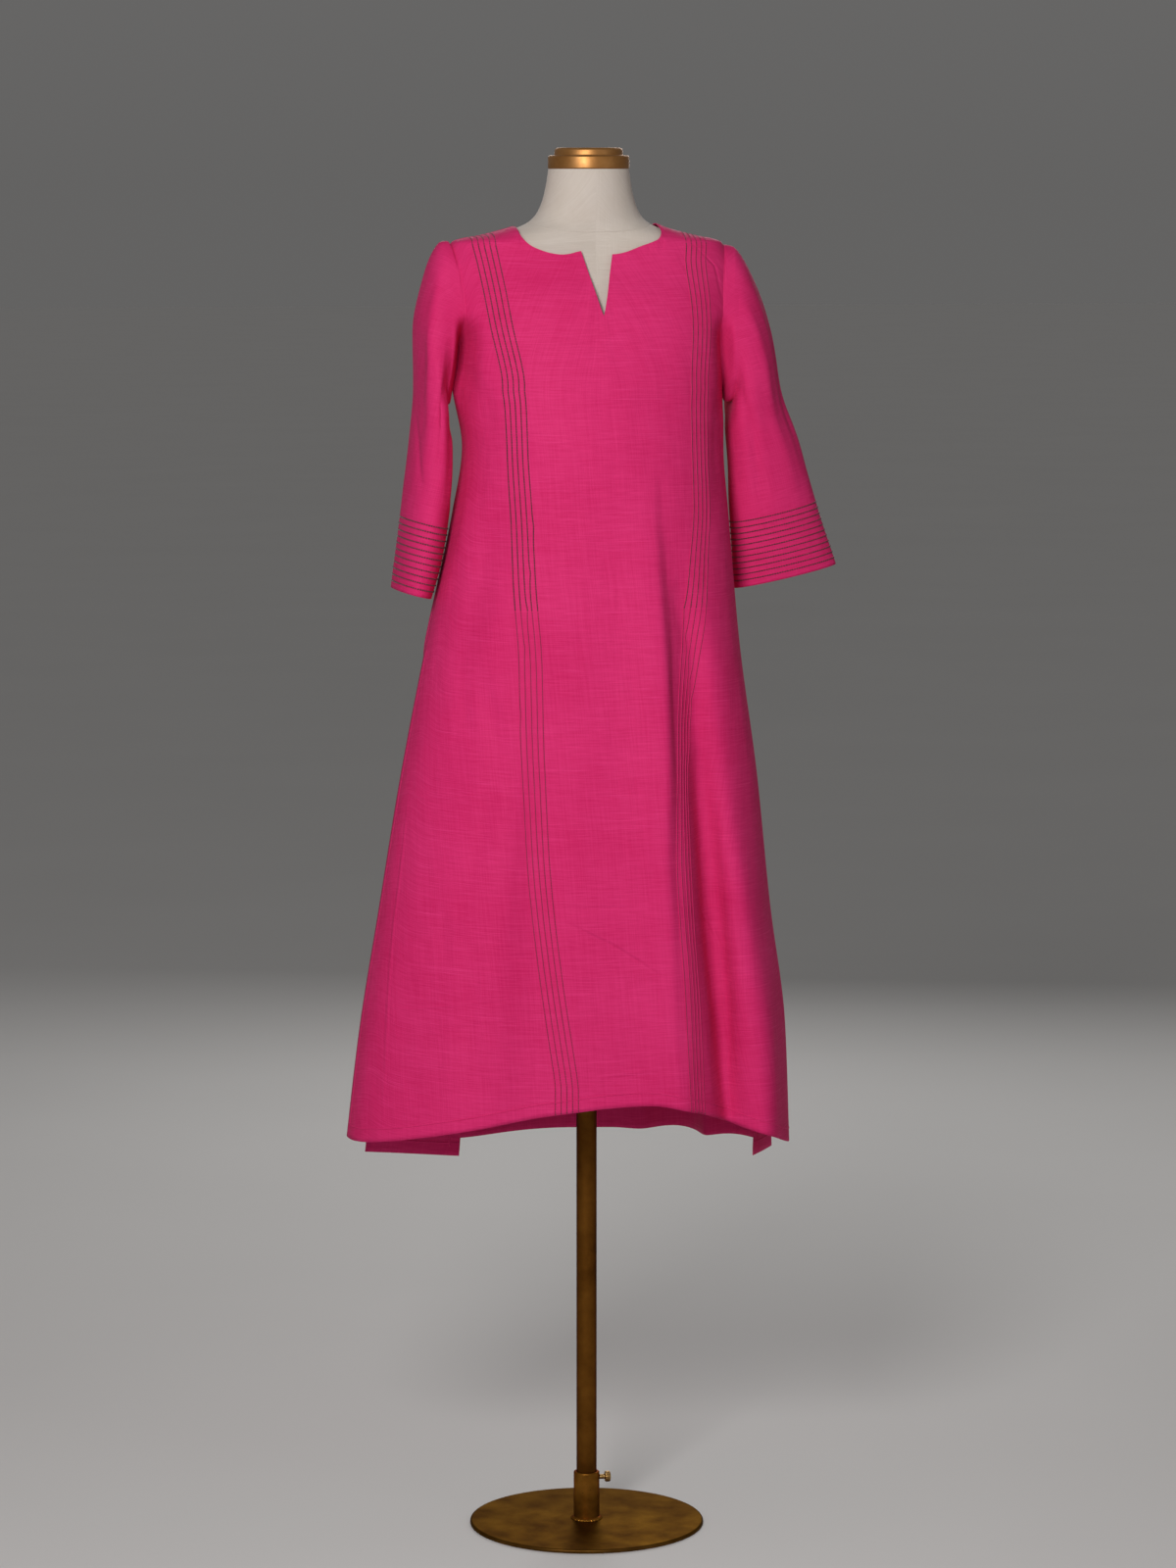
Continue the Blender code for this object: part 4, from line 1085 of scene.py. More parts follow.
def press_group(name, marks):
    """Narrow press marks in one piece of cloth, as a height. A mark is its (u, v) points in
    metres of cloth, its width and its height. Each step leans on the one before it by a billionth
    of its height, so that the steps are worked out one after another and none waits."""
    tree, given, out = group(name, (("Vector", "Vector", None),), (("Height", "Float"),))
    place, total = given["Vector"], None
    for points, width, height in marks:
        mark, last = None, len(points) - 2
        for number, ((u0, v0), (u1, v1)) in enumerate(zip(points, points[1:])):
            line = (u1 - u0, v1 - v0, 0.0)
            whole = line[0] ** 2 + line[1] ** 2
            here = vectors(tree, "SUBTRACT", place, (u0, v0, 0.0))
            share = vectors(tree, "DOT_PRODUCT", here, (line[0] / whole, line[1] / whole, 0.0))
            share = sums(tree, "ADD", share, 0.0, use_clamp=True)
            away = vectors(tree, "DISTANCE", here, vectors(tree, "SCALE", line, share))
            part = remap(tree, away, 0.0, width, 1.0, 0.0, interpolation_type="SMOOTHSTEP")
            if number == 0:
                part = sums(tree, "MULTIPLY", part, remap(tree, share, 0.0, 0.6))
            if number == last:
                part = sums(tree, "MULTIPLY", part, remap(tree, share, 1.0, 0.4))
            mark = part if mark is None else sums(tree, "MAXIMUM", mark, part)
            place = vectors(tree, "ADD", place, sums(tree, "MULTIPLY", mark, STEP_LINK))
        mark = sums(tree, "MULTIPLY", mark, height)
        total = mark if total is None else sums(tree, "ADD", total, mark)
    feed(tree, out["Height"], total)
    return tree


WEAVE = weave_group()
RUBBED = rubbed_group()


def blank_material(name):
    material = bpy.data.materials.new(name)
    material.use_nodes = True
    tree = material.node_tree
    return material, tree, tree.nodes["Principled BSDF"]


def fill(tree, node, **inputs):
    """Each named input gets a value or is joined to a socket. An underscore stands for a space."""
    for label, value in inputs.items():
        feed(tree, node.inputs[label.replace("_", " ")], value)


def group_node(tree, shared, **inputs):
    node = put(tree, "ShaderNodeGroup", node_tree=shared)
    fill(tree, node, **inputs)
    return node.outputs


def object_place(tree):
    return put(tree, "ShaderNodeTexCoord").outputs["Object"]


def cloth_place(tree):
    return put(tree, "ShaderNodeUVMap", uv_map="cloth").outputs[0]


def bump(tree, shader, height, strength, distance, under=None):
    node = put(tree, "ShaderNodeBump", {"Strength": strength, "Distance": distance, "Height": height})
    if under is not None:
        fill(tree, node, Normal=under)
    fill(tree, shader, Normal=node.outputs[0])
    return node.outputs[0]


def cloth_material(name, shift, marks=None):
    """Pink handloom cloth with slubs along its weft, on the cloth's own UV map in metres."""
    material, tree, shader = blank_material(name)
    place = cloth_place(tree)
    weave = group_node(tree, WEAVE, Vector=place, Slubs=1.0, Seed_Shift=shift)
    tone = remap(tree, weave["Tone"], -0.7, 1.0)
    fill(
        tree, shader,
        Base_Color=mix_colours(tree, tone, DEEP_PINK, LIGHT_PINK),
        Roughness=remap(tree, weave["Tone"], -0.7, 1.1, 0.66, 0.50),
        Sheen_Weight=0.02,
        Sheen_Roughness=0.35,
        Sheen_Tint=(1.0, 0.52, 0.78, 1.0),
        Specular_IOR_Level=0.05,
    )
    base = bump(tree, shader, streaks(tree, place, RUMPLES), 1.0, 0.0016)
    if marks:
        base = bump(tree, shader, group_node(tree, marks, Vector=place)["Height"], 1.0, 1.0, base)
    bump(tree, shader, weave["Height"], 0.55, 0.00018, base)
    return material


def thread_material(name, dark, light):
    material, tree, shader = blank_material(name)
    twist = noise(tree, object_place(tree), 1500.0)
    colour = mix_colours(tree, remap(tree, twist, 0.3, 0.7), dark, light)
    fill(tree, shader, Base_Color=colour, Roughness=0.6, Sheen_Weight=0.2)
    bump(tree, shader, twist, 0.4, 0.0002)
    return material


def cover_material():
    """Ivory cover of the dress form: plain woven canvas, a little stained with age."""
    material, tree, shader = blank_material("ivory_form_cover")
    weave = group_node(tree, WEAVE, Vector=cloth_place(tree), Slubs=0.5, Seed_Shift=3.0)
    stains = remap(tree, noise(tree, object_place(tree), 11.0, 4.0, 0.6), 0.42, 0.75)
    tone = remap(tree, weave["Tone"], -0.7, 1.1)
    threads = mix_colours(tree, tone, (0.52, 0.455, 0.40, 1.0), (0.66, 0.60, 0.545, 1.0))
    stained = mix_colours(tree, sums(tree, "MULTIPLY", stains, 0.35), threads, (0.47, 0.39, 0.30, 1.0))
    fill(tree, shader, Base_Color=stained, Roughness=0.86, Sheen_Weight=0.15, Specular_IOR_Level=0.25)
    bump(tree, shader, weave["Height"], 0.5, 0.0003)
    return material


def paint_material(name, dark, light, bare, metallic, roughness, scale, chips, rim=(1.0, 1.0, 1.0, 1.0)):
    """Metallic paint, cloudy and a little rubbed, with small chips down to a barer tone. The rim
    is its tint where it is seen at a flat angle."""
    material, tree, shader = blank_material(name)
    worn = group_node(tree, RUBBED, Vector=object_place(tree), Scale=scale, Chips=chips)
    paint = mix_colours(tree, worn["Clouds"], dark, light)
    fill(
        tree, shader,
        Base_Color=mix_colours(tree, worn["Chipped"], paint, bare),
        Roughness=remap(tree, worn["Clouds"], 0.0, 1.0, roughness + 0.06, roughness - 0.06),
        Metallic=metallic,
        Specular_Tint=rim,
    )
    bump(tree, shader, worn["Height"], 0.35, 0.0004)
    return material


DEEP_PINK = (0.58, 0.015, 0.112, 1.0)
LIGHT_PINK = (0.74, 0.040, 0.195, 1.0)
PINK_CLOTH = cloth_material("pink_handloom_cloth", 0.0)
PINK_THREAD = thread_material("pink_sewing_thread", (0.55, 0.03, 0.12, 1.0), (0.85, 0.12, 0.30, 1.0))
DARK_THREAD = thread_material("maroon_sewing_thread", (0.035, 0.003, 0.008, 1.0), (0.11, 0.010, 0.026, 1.0))
FORM_COVER = cover_material()
CAP_GOLD = paint_material(
    "antique_gold_paint",
    dark=(0.30, 0.125, 0.026, 1.0), light=(0.50, 0.25, 0.085, 1.0), bare=(0.70, 0.45, 0.20, 1.0),
    metallic=0.80, roughness=0.46, scale=1.0, chips=0.35,
)
BRONZE = paint_material(
    "dark_bronze_paint",
    dark=(0.085, 0.030, 0.004, 1.0), light=(0.20, 0.080, 0.012, 1.0), bare=(0.34, 0.18, 0.05, 1.0),
    metallic=0.85, roughness=0.42, scale=0.8, chips=0.5, rim=(0.20, 0.085, 0.02, 1.0),
)
PLATE_PAINT = paint_material(
    "plate_bronze_paint",
    dark=(0.070, 0.030, 0.005, 1.0), light=(0.15, 0.070, 0.014, 1.0), bare=(0.24, 0.13, 0.04, 1.0),
    metallic=0.95, roughness=0.46, scale=0.8, chips=0.5, rim=(0.42, 0.42, 0.38, 1.0),
)
COLLAR_PAINT = paint_material(
    "worn_bronze_paint",
    dark=(0.15, 0.058, 0.007, 1.0), light=(0.36, 0.155, 0.022, 1.0), bare=(0.10, 0.040, 0.008, 1.0),
    metallic=0.85, roughness=0.40, scale=1.6, chips=1.0, rim=(0.35, 0.16, 0.04, 1.0),
)
BRASS = paint_material(
    "dull_brass",
    dark=(0.34, 0.19, 0.055, 1.0), light=(0.55, 0.35, 0.13, 1.0), bare=(0.22, 0.12, 0.05, 1.0),
    metallic=0.95, roughness=0.36, scale=2.0, chips=0.3,
)


# ---- dress form ----------------------------------------------------------------------------
FORM_RINGS = 190
FORM_TURN = 144
NECK_SEAM_Z = 1.5985          # of the seam around the neck, in front
NECK_SEAM_RISE = 0.0100       # how much higher it runs at the sides
NECK_SEAM_BACK_RISE = 0.002   # and behind
BACK_SEAM_Z = (0.912, 1.600)


def form_point(angle, z):
    """A place on the form's skin, at an angle about it from the front."""
    squareness = read_table(FORM_SECTIONS, "z", "squareness", z)
    across = np.sign(np.sin(angle)) * np.abs(np.sin(angle)) ** (2.0 / squareness)
    ahead = np.sign(np.cos(angle)) * np.abs(np.cos(angle)) ** (2.0 / squareness)
    front, back, width, centre = (
        read_table(FORM_SECTIONS, "z", column, z) for column in ("front", "back", "half_width", "centre_y")
    )
    x = width * across
    y = centre - np.where(ahead > 0.0, front, back) * ahead
    return np.stack((x, y, z + np.zeros_like(x)), axis=-1)


def form_heights():
    """Ring heights, evenly spaced along the form's outline."""
    z = np.linspace(FORM_SECTIONS[0].z, FORM_SECTIONS[-1].z, 3000)
    width = read_table(FORM_SECTIONS, "z", "half_width", z)
    arc = run_length(np.hypot(np.diff(z), np.diff(width)))
    return np.interp(np.linspace(0.0, arc[-1], FORM_RINGS), arc, z)


def hardened(piece, angle):
    """The piece with its faces outwards, and its edges sharp where they turn more than the angle."""
    make_outwards(piece)
    piece.data.set_sharp_from_angle(angle=math.radians(angle))
    return piece


def make_form():
    angle = np.linspace(0.0, 2.0 * np.pi, FORM_TURN + 1)[None, :]
    grid = form_point(angle, form_heights()[:, None])
    across = arc_lengths(grid, 1, 0)
    along = arc_lengths(grid, 0, 0)
    points = grid[:, :-1].reshape(-1, 3).tolist()
    faces, uv = [], []
    for r in range(FORM_RINGS - 1):
        low, high = r * FORM_TURN, (r + 1) * FORM_TURN
        for c in range(FORM_TURN):
            d = (c + 1) % FORM_TURN
            faces.append((low + c, low + d, high + d, high + c))
            uv.extend((across[i, j], along[i, j]) for i, j in ((r, c), (r, c + 1), (r + 1, c + 1), (r + 1, c)))
    for r in (0, FORM_RINGS - 1):
        middle = len(points)
        points.append(grid[r, :-1].mean(axis=0).tolist())
        for c in range(FORM_TURN):
            faces.append((r * FORM_TURN + c, r * FORM_TURN + (c + 1) % FORM_TURN, middle))
            uv.extend((tuple(grid[r, c, :2]), tuple(grid[r, c + 1, :2]), tuple(points[middle][:2])))
    return hardened(mesh_piece("form_cover", points, faces, FORM_COVER, uv), 50.0)


def form_line(angle, z):
    """A line on the form, with its outer direction."""
    points = form_point(angle, z)
    ahead = form_point(angle + 0.01, z) - form_point(angle - 0.01, z)
    up = form_point(angle, z + 0.002) - form_point(angle, z - 0.002)
    facing = unit(np.cross(ahead, up))
    middle = np.array((0.0, -0.01, 0.0))
    inwards = np.sum(facing[..., :2] * (points[..., :2] - middle[:2]), axis=-1) < 0.0
    facing[inwards] *= -1.0
    return points, facing


def form_seams():
    """The seam around the neck, highest at the sides, and the seam down the back."""
    turn = np.linspace(0.0, 2.0 * np.pi, 160, endpoint=False)
    behind = NECK_SEAM_BACK_RISE * (np.cos(turn) < 0.0) * np.cos(turn) ** 2
    neck = form_line(turn, NECK_SEAM_Z + NECK_SEAM_RISE * np.abs(np.sin(turn)) ** 2 + behind)
    heights = np.linspace(*BACK_SEAM_Z, 150)
    return neck, form_line(np.full(heights.shape, np.pi), heights)


# ---- turned pieces of the stand ------------------------------------------------------------
TURN_STEPS = 96


def rounded(profile, radius, steps=4):
    """The same outline with each inner corner of its line rounded off."""
    out = [profile[0]]
    for before, corner, after in zip(profile, profile[1:], profile[2:]):
        here = Vector(corner)
        back, ahead = Vector(before) - here, Vector(after) - here
        reach = min(radius, back.length * 0.45, ahead.length * 0.45)
        start, end = here + back.normalized() * reach, here + ahead.normalized() * reach
        for i in range(steps + 1):
            t = i / steps
            out.append(tuple(start * (1.0 - t) ** 2 + here * (2.0 * t * (1.0 - t)) + end * t * t))
    out.append(profile[-1])
    return out


def turned(name, profile, place, material, steps=TURN_STEPS, tilt=0.0, wobble=None):
    """A solid turned about its own axis. The profile is (radius, height) pairs, axis to axis."""
    points, faces, loops = [], [], []
    for radius, height in profile:
        if radius < 1e-6:
            loops.append([len(points)])
            points.append((0.0, 0.0, height))
            continue
        loops.append(list(range(len(points), len(points) + steps)))
        for i in range(steps):
            angle = 2.0 * math.pi * i / steps
            r = radius if wobble is None else wobble(radius, angle)
            points.append((r * math.cos(angle), r * math.sin(angle), height))
    for low, high in zip(loops, loops[1:]):
        for i in range(steps):
            j = (i + 1) % steps
            if len(low) == 1:
                faces.append((low[0], high[i], high[j]))
            elif len(high) == 1:
                faces.append((low[i], high[0], low[j]))
            else:
                faces.append((low[i], high[i], high[j], low[j]))
    piece = mesh_piece(name, points, faces, material)
    matrix = Matrix.Translation(place)
    if tilt:
        matrix = matrix @ Matrix.Rotation(tilt, 4, "Y")
    piece.data.transform(matrix)
    return hardened(piece, 40.0)


def make_cap():
    tier, top, inner = CAP_TIER_HEIGHT, CAP_TIER_HEIGHT + CAP_TOP_HEIGHT, CAP_TOP_RADIUS
    outline = (
        (0.0, top), (inner - 0.0030, top), (inner - 0.0006, top - 0.0022), (inner, tier + 0.0004),
        (inner + 0.0010, tier - 0.0006), (CAP_RADIUS - 0.0022, tier), (CAP_RADIUS, tier - 0.0016),
        (CAP_RADIUS, 0.0008), (CAP_RADIUS - 0.0008, 0.0), (0.0, 0.0),
    )
    return turned("neck_cap_turned", rounded(outline, 0.0012), (0.0, CAP_Y, CAP_Z), CAP_GOLD)


def make_base():
    outline = (
        (0.0, BASE_HEIGHT), (BASE_RADIUS - 0.0016, BASE_HEIGHT), (BASE_RADIUS, BASE_HEIGHT - 0.0014),
        (BASE_RADIUS, 0.0008), (BASE_RADIUS - 0.0008, 0.0), (0.0, 0.0),
    )
    return turned("base_disc", rounded(outline, 0.0010), (0.0, 0.0, 0.0), PLATE_PAINT, steps=160)


def make_collar():
    inner, outer, top = POLE_RADIUS + TOUCH_GAP, COLLAR_RADIUS, COLLAR_HEIGHT
    outline = (
        (inner, top * 0.5), (inner, top), (outer - 0.0012, top), (outer, top - 0.0012), (outer, 0.0), (inner, 0.0),
        (inner, top * 0.5),
    )
    return turned("collar_tube", rounded(outline, 0.0008), (0.0, 0.0, BASE_HEIGHT + TOUCH_GAP), COLLAR_PAINT)


def make_weld():
    """The lumpy weld bead around the collar's foot."""
    def lumps(radius, angle):
        away = radius - COLLAR_RADIUS
        return COLLAR_RADIUS + away * (1.0 + 0.12 * math.sin(26.0 * angle) + 0.06 * math.sin(41.0 * angle + 1.0))

    foot = COLLAR_RADIUS
    outline = (
        (foot - 0.0004, 0.0), (foot + 0.0034, 0.0), (foot + 0.0030, 0.0014), (foot + 0.0014, 0.0028),
        (foot - 0.0004, 0.0036), (foot - 0.0004, 0.0),
    )
    place = (0.0, 0.0, BASE_HEIGHT)
    return turned("weld_bead", rounded(outline, 0.0008), place, COLLAR_PAINT, steps=192, wobble=lumps)


def make_pole():
    foot, top = BASE_HEIGHT + TOUCH_GAP, FORM_SECTIONS[0].z - TOUCH_GAP
    outline = ((0.0, top), (POLE_RADIUS, top), (POLE_RADIUS, (top + foot) / 2.0), (POLE_RADIUS, foot), (0.0, foot))
    return turned("pole_tube", rounded(outline, 0.0006), (0.0, 0.0, 0.0), BRONZE, steps=64)


def make_screw():
    """A thumb screw with a knurled round head."""
    start, end, radius = SCREW_SHANK_LENGTH, SCREW_SHANK_LENGTH + SCREW_HEAD_LENGTH, SCREW_HEAD_RADIUS
    shank = SCREW_SHANK_RADIUS

    def knurled(r, angle):
        return r * (1.0 - 0.045 * (0.5 + 0.5 * math.cos(20.0 * angle))) if r > radius * 0.95 else r

    outline = (
        (0.0, end + 0.0006), (radius * 0.55, end + 0.0004), (radius * 0.90, end - 0.0002), (radius, end - 0.0012),
        (radius, start + 0.0012), (radius * 0.90, start + 0.0002), (shank + 0.0006, start), (shank, start - 0.0010),
        (shank, 0.0), (0.0, 0.0),
    )
    return turned("thumb_screw_knurled", rounded(outline, 0.0005), (COLLAR_RADIUS + TOUCH_GAP, 0.0, SCREW_Z), BRASS,
                  steps=120, tilt=math.pi / 2.0, wobble=knurled)


# ---- making the cloth ----------------------------------------------------------------------
def panel(name, side, seed):
    shares = fine_shares(side)
    grid = panel_grid(side, shares)
    normals = yoke_normals(side, grid, grid_normals(grid, False, (0.0, side, 0.0)))
    free = 1.0 - smooth_step((grid[..., 2] - HELD_FROM_Z) / HELD_SPAN)
    edge = smooth_step((1.0 - np.abs(shares)) / 0.05)[None, :]
    lift = panel_creases(side, grid) + cloth_wander(grid, *PANEL_WANDER, seed) * (0.15 + 0.85 * free)
    grid = grid + normals * (lift * edge)[..., None]
    normals = yoke_normals(side, grid, grid_normals(grid, False, (0.0, side, 0.0)))
    across = arc_lengths(grid, 1, int(np.argmin(np.abs(shares))))
    along = arc_lengths(grid, 0, SKIRT_STEPS) + UNDERARM_Z
    marks = []
    for line in PRESS_LINES:
        if line.side == side:
            places = np.array([place_on_cloth(grid, x, z) for x, z in line.points])
            on_cloth = sample(np.stack((across, along), axis=-1), places[:, 0], places[:, 1])
            marks.append((on_cloth.tolist(), line.width, line.height))
    marks = press_group(name + " press marks", marks)
    material = cloth_material(name.replace("cloth", "pink_cloth"), WEAVE_SHIFT * side, marks)
    return cloth_object(name, grid, normals, across, along, False, material), grid, normals


def sleeve(name, side_x, rings, seed):
    grid, turn, along = sleeve_grid(side_x, rings)
    normals = grid_normals(grid, True, (0.0, -1.0, 0.0))
    loose = smooth_step(along / 0.12) * (1.0 - 0.6 * smooth_step((along - 0.74) / 0.06))
    lift = sleeve_creases(side_x, turn, along) + cloth_wander(grid, *SLEEVE_WANDER, seed)
    grid = grid + normals * (lift * loose)[..., None]
    normals = grid_normals(grid, True, (0.0, -1.0, 0.0))
    wrapped = np.concatenate((grid, grid[:, :1]), axis=1)
    piece = cloth_object(name, grid, normals, arc_lengths(wrapped, 1, 0), arc_lengths(grid, 0, 0), True, PINK_CLOTH)
    return piece, wrapped, np.concatenate((normals, normals[:, :1]), axis=1)


def cuff_lines(grid, normals, distances):
    """Closed lines around a sleeve, at even distances from the cuff's edge."""
    arc = arc_lengths(grid, 0, 0)
    every = np.arange(grid.shape[0])
    columns = np.arange(grid.shape[1] - 1)
    lines = []
    for distance in distances:
        rows = np.array([np.interp(distance, arc[:, c], every) for c in columns])
        lines.append(cloth_line(grid, normals, rows, columns.astype(float)))
    return lines


# Sections of the rolls that follow lines on the cloth, as (sideways, outwards) places.
OUTER_FACE = CLOTH_LIFT + CLOTH_WALL
TUCK_PROFILE = [
    (0.0, -0.0003), (TUCK_WIDTH, -0.0003), (TUCK_WIDTH * 0.92, TUCK_HEIGHT * 0.7), (TUCK_WIDTH * 0.5, TUCK_HEIGHT),
    (TUCK_WIDTH * 0.08, TUCK_HEIGHT * 0.7),
]
HEM_PROFILE = [(-0.0012, -0.0003), (0.0016, -0.0003), (0.0005, 0.0005), (-0.0005, 0.0004)]
SEAM_PROFILE = [
    (0.0011 * math.cos(angle), 0.0008 * math.sin(angle))
    for angle in np.linspace(0.0, 2.0 * math.pi, 8, endpoint=False)
]
COVER_SEAM_PROFILE = [(s * 0.6, o * 0.45) for s, o in SEAM_PROFILE]
BODY_SEAM_LIFT = 0.0004
ARMHOLE_SEAM_LIFT = 0.0006
ARMHOLE_SEAM_OUT = 0.0008     # the armhole's seam lies this much towards the sleeve

front, front_grid, front_normals = panel("front_cloth", -1, 11)
back, back_grid, back_normals = panel("back_cloth", 1, 12)
right, right_grid, right_normals = sleeve("right_sleeve_cloth", -1, RIGHT_SLEEVE_RINGS, 13)
left, left_grid, left_normals = sleeve("left_sleeve_cloth", 1, LEFT_SLEEVE_RINGS, 14)

# pintucks and their dark thread
front_tucks = [
    lifted(line, OUTER_FACE)
    for places in (RIGHT_TUCKS, LEFT_TUCKS)
    for line in tuck_lines(front_grid, front_normals, places)
]
front_ribs = tube_object("front_pintucks", front_tucks, TUCK_PROFILE, PINK_CLOTH)
close_rows, open_rows = split_at(front_tucks, TUCKS_PART_Z)
front_thread = stitches("upper_pintuck_stitches", close_rows, UPPER_TUCK_STITCH, 3, DARK_THREAD)
front_thread_low = stitches("lower_pintuck_stitches", open_rows, LOWER_TUCK_STITCH, 4, DARK_THREAD)
cuff_pieces = {}
for label, grid, normals, seed in (("right", right_grid, right_normals, 5), ("left", left_grid, left_normals, 6)):
    distances = [CUFF_EDGE_SPACE + CUFF_TUCK_SPACINGS[label] * k for k in range(CUFF_TUCKS)]
    lines = [lifted(line, OUTER_FACE) for line in cuff_lines(grid, normals, distances)]
    ribs = tube_object(label + "_cuff_pintucks", lines, TUCK_PROFILE, PINK_CLOTH, closed=True)
    thread = stitches(label + "_cuff_stitches", lines, CUFF_STITCH, seed, DARK_THREAD, closed=True)
    cuff_pieces[label] = [ribs, thread]

# hems and slits, stitched in pink thread
SLIT_ROWS = int(SKIRT_STEPS * 0.66)


def hem_lines(grid, normals):
    last = grid.shape[1] - 1
    lines = [edge_line(grid, normals, HEM_DEPTH, 0, 0, 3, last - 3)]
    lines += [edge_line(grid, normals, SLIT_HEM, 1, edge, 2, SLIT_ROWS) for edge in (0, last)]
    return [lifted(line, OUTER_FACE) for line in lines]


front_hem_lines, back_hem_lines = hem_lines(front_grid, front_normals), hem_lines(back_grid, back_normals)
front_fold = tube_object("front_hem_fold", front_hem_lines, HEM_PROFILE, PINK_CLOTH)
back_fold = tube_object("back_hem_fold", back_hem_lines, HEM_PROFILE, PINK_CLOTH)
front_hem = stitches("front_hem_stitches", front_hem_lines, HEM_STITCH, 7, PINK_THREAD)
back_hem = stitches("back_hem_stitches", back_hem_lines, HEM_STITCH, 8, PINK_THREAD)

# seams: shoulders, sides and armholes
SIDE_SEAM_FROM = int(SKIRT_STEPS * 0.70)


def body_seam(rows, columns):
    """A seam on the front panel's edge, along a run of its rows or of its columns."""
    rows, columns = np.broadcast_arrays(np.asarray(rows, float), np.asarray(columns, float))
    return lifted(cloth_line(front_grid, front_normals, rows, columns), BODY_SEAM_LIFT)


last_row, last_column = front_grid.shape[0] - 1, front_grid.shape[1] - 1
side_rows = np.arange(SIDE_SEAM_FROM, SKIRT_STEPS + 1)
body_seams = tube_object("body_seams", [
    body_seam(last_row, np.arange(SHOULDER_STEPS + 1)),
    body_seam(last_row, np.arange(last_column - SHOULDER_STEPS, last_column + 1)),
    body_seam(side_rows, 0),
    body_seam(side_rows, last_column),
], SEAM_PROFILE, PINK_CLOTH)
armhole_lines = []
for side_x in (-1.0, 1.0):
    turn = np.linspace(0.0, 1.0, 120, endpoint=False)
    ring = armhole_edge(side_x, turn) + np.array((side_x * ARMHOLE_SEAM_OUT, 0.0, 0.0))
    facing = ring - ring.mean(axis=0)
    facing[:, 0] = 0.0
    armhole_lines.append(lifted((ring, unit(facing)), ARMHOLE_SEAM_LIFT))
armhole_seams = tube_object("armhole_seams", armhole_lines, SEAM_PROFILE, PINK_CLOTH, closed=True)

# ---- the form and its stand ----------------------------------------------------------------
form = make_form()
neck_seam, back_seam = form_seams()
form_seam_rolls = [
    tube_object("form_neck_seam", [neck_seam], COVER_SEAM_PROFILE, FORM_COVER, closed=True),
    tube_object("form_back_seam", [back_seam], COVER_SEAM_PROFILE, FORM_COVER),
]
cap, base, collar, weld, pole, screw = make_cap(), make_base(), make_collar(), make_weld(), make_pole(), make_screw()

# ---- what each piece rides on, and the frame's parts that it replaces ----------------------
KURTI = [
    front, back, right, left, front_ribs, front_fold, back_fold, body_seams, armhole_seams, cuff_pieces["right"][0],
    cuff_pieces["left"][0],
]
THREADS = [front_thread, front_thread_low, front_hem, back_hem, cuff_pieces["right"][1], cuff_pieces["left"][1]]
for piece in KURTI + THREADS + [form, *form_seam_rolls, cap, base, collar, weld, pole, screw]:
    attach(piece, "root")
for piece, node in ((front, "front_panel"), (back, "back_panel"), (right, "right_sleeve"), (left, "left_sleeve"),
                    (form, "dress_form"), (cap, "neck_cap"), (base, "base_plate"), (collar, "pole_collar"),
                    (pole, "pole"), (screw, "thumb_screw")):
    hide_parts(node)

# ---- floor, light and camera ---------------------------------------------------------------
FLOOR_REACH = 60.0


def make_floor():
    material, tree, shader = blank_material("plain_pale_floor")
    clouds = noise(tree, object_place(tree), 1.5, 3.0)
    pale = mix_colours(tree, clouds, (0.62, 0.61, 0.60, 1.0), (0.66, 0.65, 0.64, 1.0))
    fill(tree, shader, Base_Color=pale, Roughness=0.7)
    mesh = bpy.data.meshes.new("studio_floor")
    corners = [(FLOOR_REACH * x, FLOOR_REACH * y, 0.0) for x, y in ((-1, -1), (1, -1), (1, 1), (-1, 1))]
    mesh.from_pydata(corners, [], [(0, 1, 2, 3)])
    mesh.materials.append(material)
    floor = link_object("studio_floor", mesh)


def soft_light(name, place, aim, size, power, colour):
    data = bpy.data.lights.new(name, "AREA")
    data.shape = "DISK"
    data.size = size
    data.energy = power
    data.color = colour
    light = link_object(name, data)
    light.location = place
    light.rotation_euler = (Vector(aim) - Vector(place)).to_track_quat("-Z", "Y").to_euler()


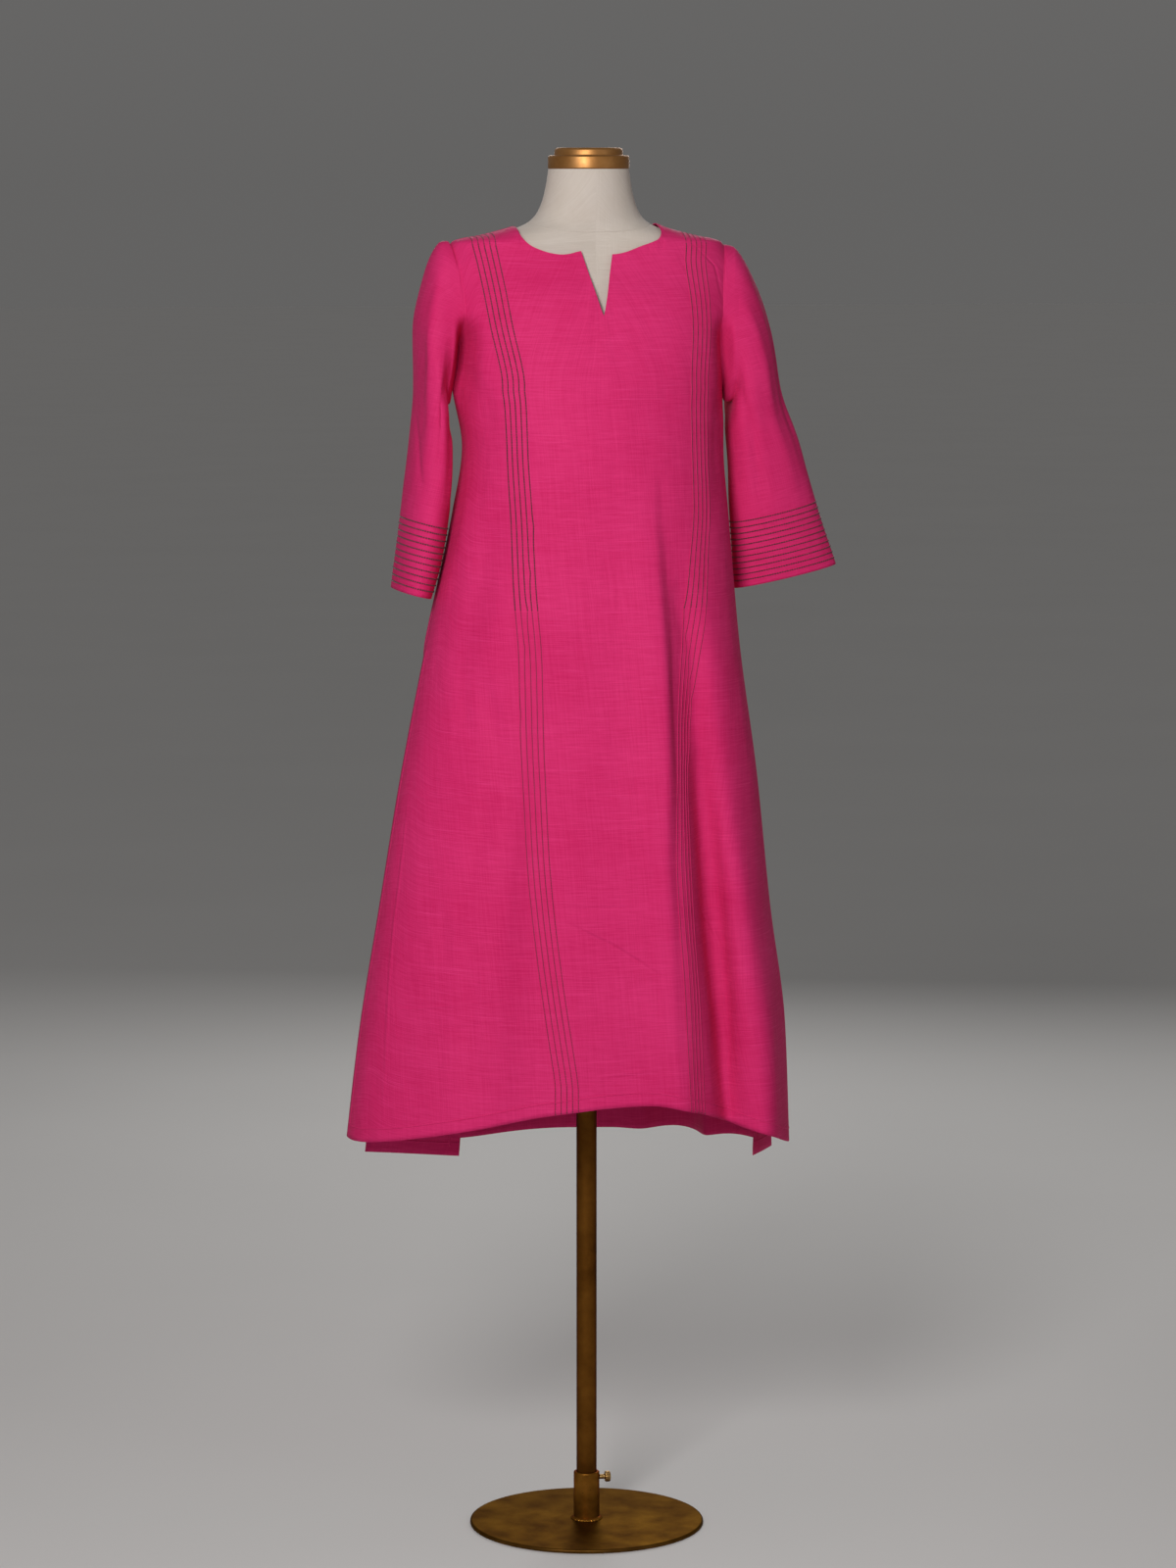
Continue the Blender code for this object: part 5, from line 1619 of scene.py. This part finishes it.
make_floor()
WARM_WHITE = (1.0, 0.98, 0.97)
SKY_HORIZON = (0.57, 0.56, 0.55, 1.0)
SKY_TOP = (0.86, 0.85, 0.84, 1.0)
SKY_STRENGTH = 0.22
soft_light("key_light", (-1.15, -2.75, 2.25), aim=(0.0, 0.0, 1.15), size=0.9, power=72.0, colour=WARM_WHITE)
soft_light("fill_light", (2.8, -3.4, 1.8), aim=(0.0, 0.0, 1.0), size=2.6, power=10.0, colour=WARM_WHITE)
soft_light("back_light", (0.9, 3.3, 2.3), aim=(0.0, 0.0, 1.1), size=2.2, power=34.0, colour=(1.0, 0.99, 0.98))
world = bpy.data.worlds.new("studio")
world.use_nodes = True
sky = world.node_tree
height = put(sky, "ShaderNodeSeparateXYZ", {0: put(sky, "ShaderNodeTexCoord").outputs["Generated"]}).outputs[2]
blend = mix_colours(sky, remap(sky, height, 0.0, 0.30), SKY_HORIZON, SKY_TOP)
fill(sky, sky.nodes["Background"], Color=blend, Strength=SKY_STRENGTH)
bpy.context.scene.world = world
bpy.context.scene.view_settings.view_transform = "Standard"

CAMERA_AZIMUTH = math.radians(-10.0)
CAMERA_TILT = math.radians(7.0)
CAMERA_DISTANCE = 5.95
CAMERA_HEIGHT = 1.657
CAMERA_SIDESTEP = 0.0018
LENS = 112.5
SENSOR_WIDTH = 36.0
camera_data = bpy.data.cameras.new("camera")
camera_data.sensor_fit = "AUTO"
camera_data.sensor_width = SENSOR_WIDTH
camera_data.lens = LENS
camera = link_object("camera", camera_data)
sideways = Vector((math.cos(CAMERA_AZIMUTH), math.sin(CAMERA_AZIMUTH), 0.0))
from_axis = Vector((math.sin(CAMERA_AZIMUTH), -math.cos(CAMERA_AZIMUTH), 0.0))
camera.location = from_axis * CAMERA_DISTANCE + sideways * CAMERA_SIDESTEP + Vector((0.0, 0.0, CAMERA_HEIGHT))
camera.rotation_euler = (math.pi / 2.0 - CAMERA_TILT, 0.0, CAMERA_AZIMUTH)
bpy.context.scene.camera = camera
